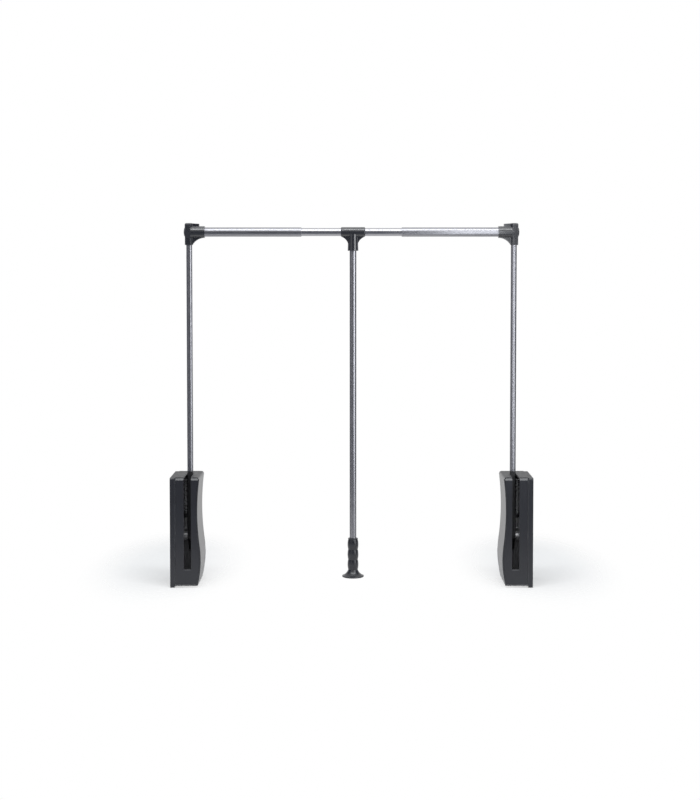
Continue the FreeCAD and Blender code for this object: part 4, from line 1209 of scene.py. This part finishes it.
class CLOSETROD_OT_drive(bpy.types.Operator):
    """Rounds and finishes the levers, frames, pushers and the small metal pieces inside the boxes"""

    bl_idname = "closetrod.drive"
    bl_label = "Levers and drive"

    def execute(self, context):
        rounded = [
            ("lever", "arm_frame", black_moulding(), 0.5 * MM, "black_nylon"),
            ("pusher", "pusher", black_moulding(), 0.4 * MM, "black_nylon"),
            ("spring_frame", "housing", zinc(), 0.3 * MM, "plated_sheet"),
            ("arm_stop", "housing", rubber(), 0.5 * MM, "black_rubber"),
            ("arm_screws", "arm_frame", black_steel(), 0.25 * MM, "black_steel"),
            ("frame_screws", "housing", black_steel(), 0.25 * MM, "black_steel"),
        ]
        for node, body, material, width, slot in rounded:
            piece = softened(f"right_{node}", f"right_{node}_part", width)
            dress_both(piece, material, body, node, slot)
        plain = {
            "pivot_shaft": zinc(),
            "pivot_spacer": zinc(),
            "pivot_bush": black_moulding(),
            "spring_guides": zinc(),
            "damper_cylinder": zinc(),
            "damper_rod": bright(),
        }
        for side in SIDES:
            for node, material in plain.items():
                finish_node(f"{side}_{node}", material)
        screw = softened("tee_screw", "handle_screw", width=0.25 * MM)
        dress(screw, black_steel(), "pull_handle", ["tee_screw"], "black_steel")
        return {"FINISHED"}


def finish_node(name, material):
    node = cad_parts[name]
    node.data.materials.clear()
    node.data.materials.append(material)


# ---------------------------------------------------------------------------------------------------------
# Floor, light and camera


class CLOSETROD_PG_stage(bpy.types.PropertyGroup):
    """Where the camera stands and how strong the lamps are."""

    distance: length("Distance", 3.521, "From the camera to the boxes' front")
    height: length("Height", 0.755, "Height of the camera over the floor")
    sideways: length("Sideways", -0.0036, "Place of the camera along the rail", low=-1)
    focal_length: number("Focal length", 68.63, "For a sensor 36 mm high, in millimetres", low=1)
    pitch: bpy.props.FloatProperty(
        name="Pitch",
        description="How far the camera looks down",
        default=math.radians(2.72),
        subtype="ANGLE",
        unit="ROTATION",
    )
    shift: number("Shift", -0.08, "Vertical shift of the lens", low=-1)
    key: number("Key light", 52, "Strength of the overhead lamp")
    fill: number("Fill light", 11, "Strength of the front lamp")
    left: number("Left light", 5.5, "Strength of the lamp on the left")
    right: number("Right light", 10, "Strength of the gloss from the right")
    near: number("Near light", 1.4, "Strength of the gloss on the right arm")
    top: number("Top light", 5, "Strength of the gloss from above")
    sky: number("Sky", 0.55, "Strength of the even light")


def area_lamp(name, place, aim, size, power, diffuse=True, glossy=True):
    data = bpy.data.lights.new(name, "AREA")
    data.shape, data.size, data.size_y = "RECTANGLE", *size
    data.energy, data.color = power, finish().light
    lamp = new_object(name, data)
    lamp.location = place
    lamp.rotation_euler = (Vector(aim) - Vector(place)).to_track_quat("-Z", "Y").to_euler()
    lamp.visible_diffuse, lamp.visible_glossy = diffuse, glossy
    return lamp


def seen_directly(graph):
    """1 for what the camera sees directly, in a mirror or through glass."""
    path = graph.add("ShaderNodeLightPath").outputs
    both = graph.math("MAXIMUM", path["Is Camera Ray"], path["Is Glossy Ray"])
    return graph.math("MAXIMUM", both, path["Is Transmission Ray"])


SHADOW_ASIDE = 0.08  # from a box's middle outwards to the shadow's middle
SHADOW_BEHIND = 0.22  # from the boxes' middle backwards to it
SHADOW_STRETCH = 0.42  # the shadow's width against its depth
FADE_LIMITS = (0.05, 0.22)
FADE_SHARES = (0.25, 1.0)


def floor_material(boxes):
    """A pale floor that holds the boxes' soft shadows and fades out into the white backdrop round them.

    Where it has faded out, the lowered rail and arms show below it: the boxes hang on walls in use.
    """
    material = bpy.data.materials.new("Pale floor")
    graph = cleared(material)
    base = graph.add("ShaderNodeBsdfDiffuse", {"Color": (*finish().floor, 1)})
    clear = graph.add("ShaderNodeBsdfTransparent")
    place = graph.add("ShaderNodeTexCoord").outputs["Object"]
    across = graph.add("ShaderNodeSeparateXYZ", {"Vector": place}).outputs
    aside = graph.math("SUBTRACT", graph.math("ABSOLUTE", across["X"]), boxes + SHADOW_ASIDE)
    behind = graph.math("MULTIPLY", graph.math("SUBTRACT", across["Y"], SHADOW_BEHIND), SHADOW_STRETCH)
    from_box = graph.add("ShaderNodeCombineXYZ", {"X": aside, "Y": behind}).outputs[0]
    away = graph.add("ShaderNodeVectorMath", {0: from_box}, operation="LENGTH").outputs["Value"]
    fade = graph.remap(away, FADE_LIMITS, FADE_SHARES, "SMOOTHSTEP")
    share = graph.math("MULTIPLY", seen_directly(graph), fade)
    mixed = graph.add("ShaderNodeMixShader", {0: share, 1: base.outputs[0], 2: clear.outputs[0]})
    graph.add("ShaderNodeOutputMaterial", {"Surface": mixed.outputs[0]})
    return material


def cloth(name, points, faces):
    """A piece of grey cloth round the scene, which the camera doesn't see."""
    piece = make_object(name, np.array(points), faces)
    if "Grey cloth" not in bpy.data.materials:
        graph = cleared(bpy.data.materials.new("Grey cloth"))
        base = graph.add("ShaderNodeBsdfDiffuse", {"Color": (*finish().cloth, 1)})
        graph.add("ShaderNodeOutputMaterial", {"Surface": base.outputs[0]})
    piece.data.materials.append(bpy.data.materials["Grey cloth"])
    piece.visible_camera = False
    return piece


def hung_cloth(front):
    """The cloth that hangs behind the camera and lies on the floor under it."""
    wide, high, behind, near_edge, lift, fold = 2.6, 2.2, 0.7, -0.5, 0.01, 0.4
    back = front - behind
    drop = [(back, high), (back, fold), (back + fold, lift), (near_edge, lift)]
    points = [(side * wide, y, z) for y, z in drop for side in (-1, 1)]
    faces = [(2 * row, 2 * row + 1, 2 * row + 3, 2 * row + 2) for row in range(len(drop) - 1)]
    return cloth("hung_cloth", points, faces)


def side_cloth(name, x, near, far, high):
    """A cloth beside the object. It shows in reflections only, where it keeps the tubes' outer edges dark."""
    piece = cloth(name, [(x, near, 0), (x, far, 0), (x, far, high), (x, near, high)], [(0, 1, 2, 3)])
    piece.visible_diffuse = False
    piece.visible_shadow = False


class CLOSETROD_OT_stage(bpy.types.Operator):
    """Sets the pale floor, the soft lamps and the camera"""

    bl_idname = "closetrod.stage"
    bl_label = "Stage"

    def execute(self, context):
        scene = context.scene
        stage = scene.closetrod_stage
        half = 40.0
        corners = np.array([[-half, -half, 0], [half, -half, 0], [half, half, 0], [-half, half, 0]])
        floor = make_object("floor", corners, [(0, 1, 2, 3)])
        floor.data.materials.append(floor_material(ARM.x))
        front = SHELL_LOW.y - stage.distance
        data = bpy.data.cameras.new("camera")
        data.lens, data.sensor_width, data.shift_y = stage.focal_length, 36, stage.shift
        data.clip_end = 200
        camera = new_object("camera", data)
        camera.location = (stage.sideways, front, stage.height)
        camera.rotation_euler = (math.pi / 2 - stage.pitch, 0, 0)
        scene.camera = camera
        hung_cloth(front)
        side_cloth("left_cloth", x=-1.0, near=-0.9, far=0.8, high=1.3)
        side_cloth("right_cloth", x=1.0, near=-0.5, far=0.8, high=1.3)
        self.hang_lamps(stage)
        self.light_sky(scene, stage)
        scene.view_settings.view_transform = "Standard"
        return {"FINISHED"}

    def hang_lamps(self, stage):
        """A broad key lamp, a fill from the front, and lamps for gloss alone: top, right and near."""
        middle = (0, 0, (CAD_BOX[0][2] + CAD_BOX[1][2]) / 2)
        head, arm = (0, 0, 1.0), (ARM.x, 0, 0.6)
        area_lamp("overhead", (0, -1.35, 2.95), middle, (3.2, 0.7), stage.key)
        area_lamp("front", (0.3, -3.4, 1.3), middle, (1.6, 0.6), stage.fill, glossy=False)
        area_lamp("top", (0, 0.2, 2.95), middle, (1.2, 1.2), stage.top, diffuse=False)
        area_lamp("left", (-3.0, -1.0, 1.2), middle, (0.8, 2.2), stage.left)
        area_lamp("right", (1.1, -0.9, 1.0), head, (0.6, 2.0), stage.right, diffuse=False)
        near = area_lamp("near", (0.33, -0.45, 0.65), arm, (0.15, 0.8), stage.near, diffuse=False)
        near.visible_camera = False

    def light_sky(self, scene, stage):
        scene.world = scene.world or bpy.data.worlds.new("sky")
        graph = cleared(scene.world)
        lit = graph.add("ShaderNodeBackground", {"Color": (*finish().light, 1), "Strength": stage.sky})
        seen = graph.add("ShaderNodeBackground", {"Color": (1, 1, 1, 1), "Strength": 1.0})
        share = seen_directly(graph)
        mixed = graph.add("ShaderNodeMixShader", {0: share, 1: lit.outputs[0], 2: seen.outputs[0]})
        graph.add("ShaderNodeOutputWorld", {"Surface": mixed.outputs[0]})


# ---------------------------------------------------------------------------------------------------------
# Panel and registration

OPERATORS = (
    CLOSETROD_OT_shells,
    CLOSETROD_OT_fascias,
    CLOSETROD_OT_plates,
    CLOSETROD_OT_tubes,
    CLOSETROD_OT_elbows,
    CLOSETROD_OT_tee,
    CLOSETROD_OT_grip,
    CLOSETROD_OT_springs,
    CLOSETROD_OT_drive,
    CLOSETROD_OT_stage,
)
GROUPS = {
    "closetrod_box": CLOSETROD_PG_box,
    "closetrod_tubes": CLOSETROD_PG_tubes,
    "closetrod_elbow": CLOSETROD_PG_elbow,
    "closetrod_tee": CLOSETROD_PG_tee,
    "closetrod_grip": CLOSETROD_PG_grip,
    "closetrod_finish": CLOSETROD_PG_finish,
    "closetrod_stage": CLOSETROD_PG_stage,
}


class CLOSETROD_PT_panel(bpy.types.Panel):
    """Lists the pieces and their sizes"""

    bl_label = "Pull Down Closet Rod"
    bl_idname = "CLOSETROD_PT_panel"
    bl_space_type = "VIEW_3D"
    bl_region_type = "UI"
    bl_category = "Closet Rod"

    def draw(self, context):
        layout = self.layout
        for operator in OPERATORS:
            layout.operator(operator.bl_idname)
        for name, group in GROUPS.items():
            box = layout.box()
            box.label(text=group.__doc__)
            for key in group.__annotations__:
                box.prop(getattr(context.scene, name), key)


CLASSES = (*GROUPS.values(), *OPERATORS, CLOSETROD_PT_panel)


def register():
    for one in CLASSES:
        bpy.utils.register_class(one)
    for name, group in GROUPS.items():
        setattr(bpy.types.Scene, name, bpy.props.PointerProperty(type=group))


def unregister():
    for name in GROUPS:
        delattr(bpy.types.Scene, name)
    for one in reversed(CLASSES):
        bpy.utils.unregister_class(one)


def main():
    register()
    for operator in OPERATORS:
        group, name = operator.bl_idname.split(".")
        getattr(getattr(bpy.ops, group), name)()


if __name__ == "__main__":
    main()
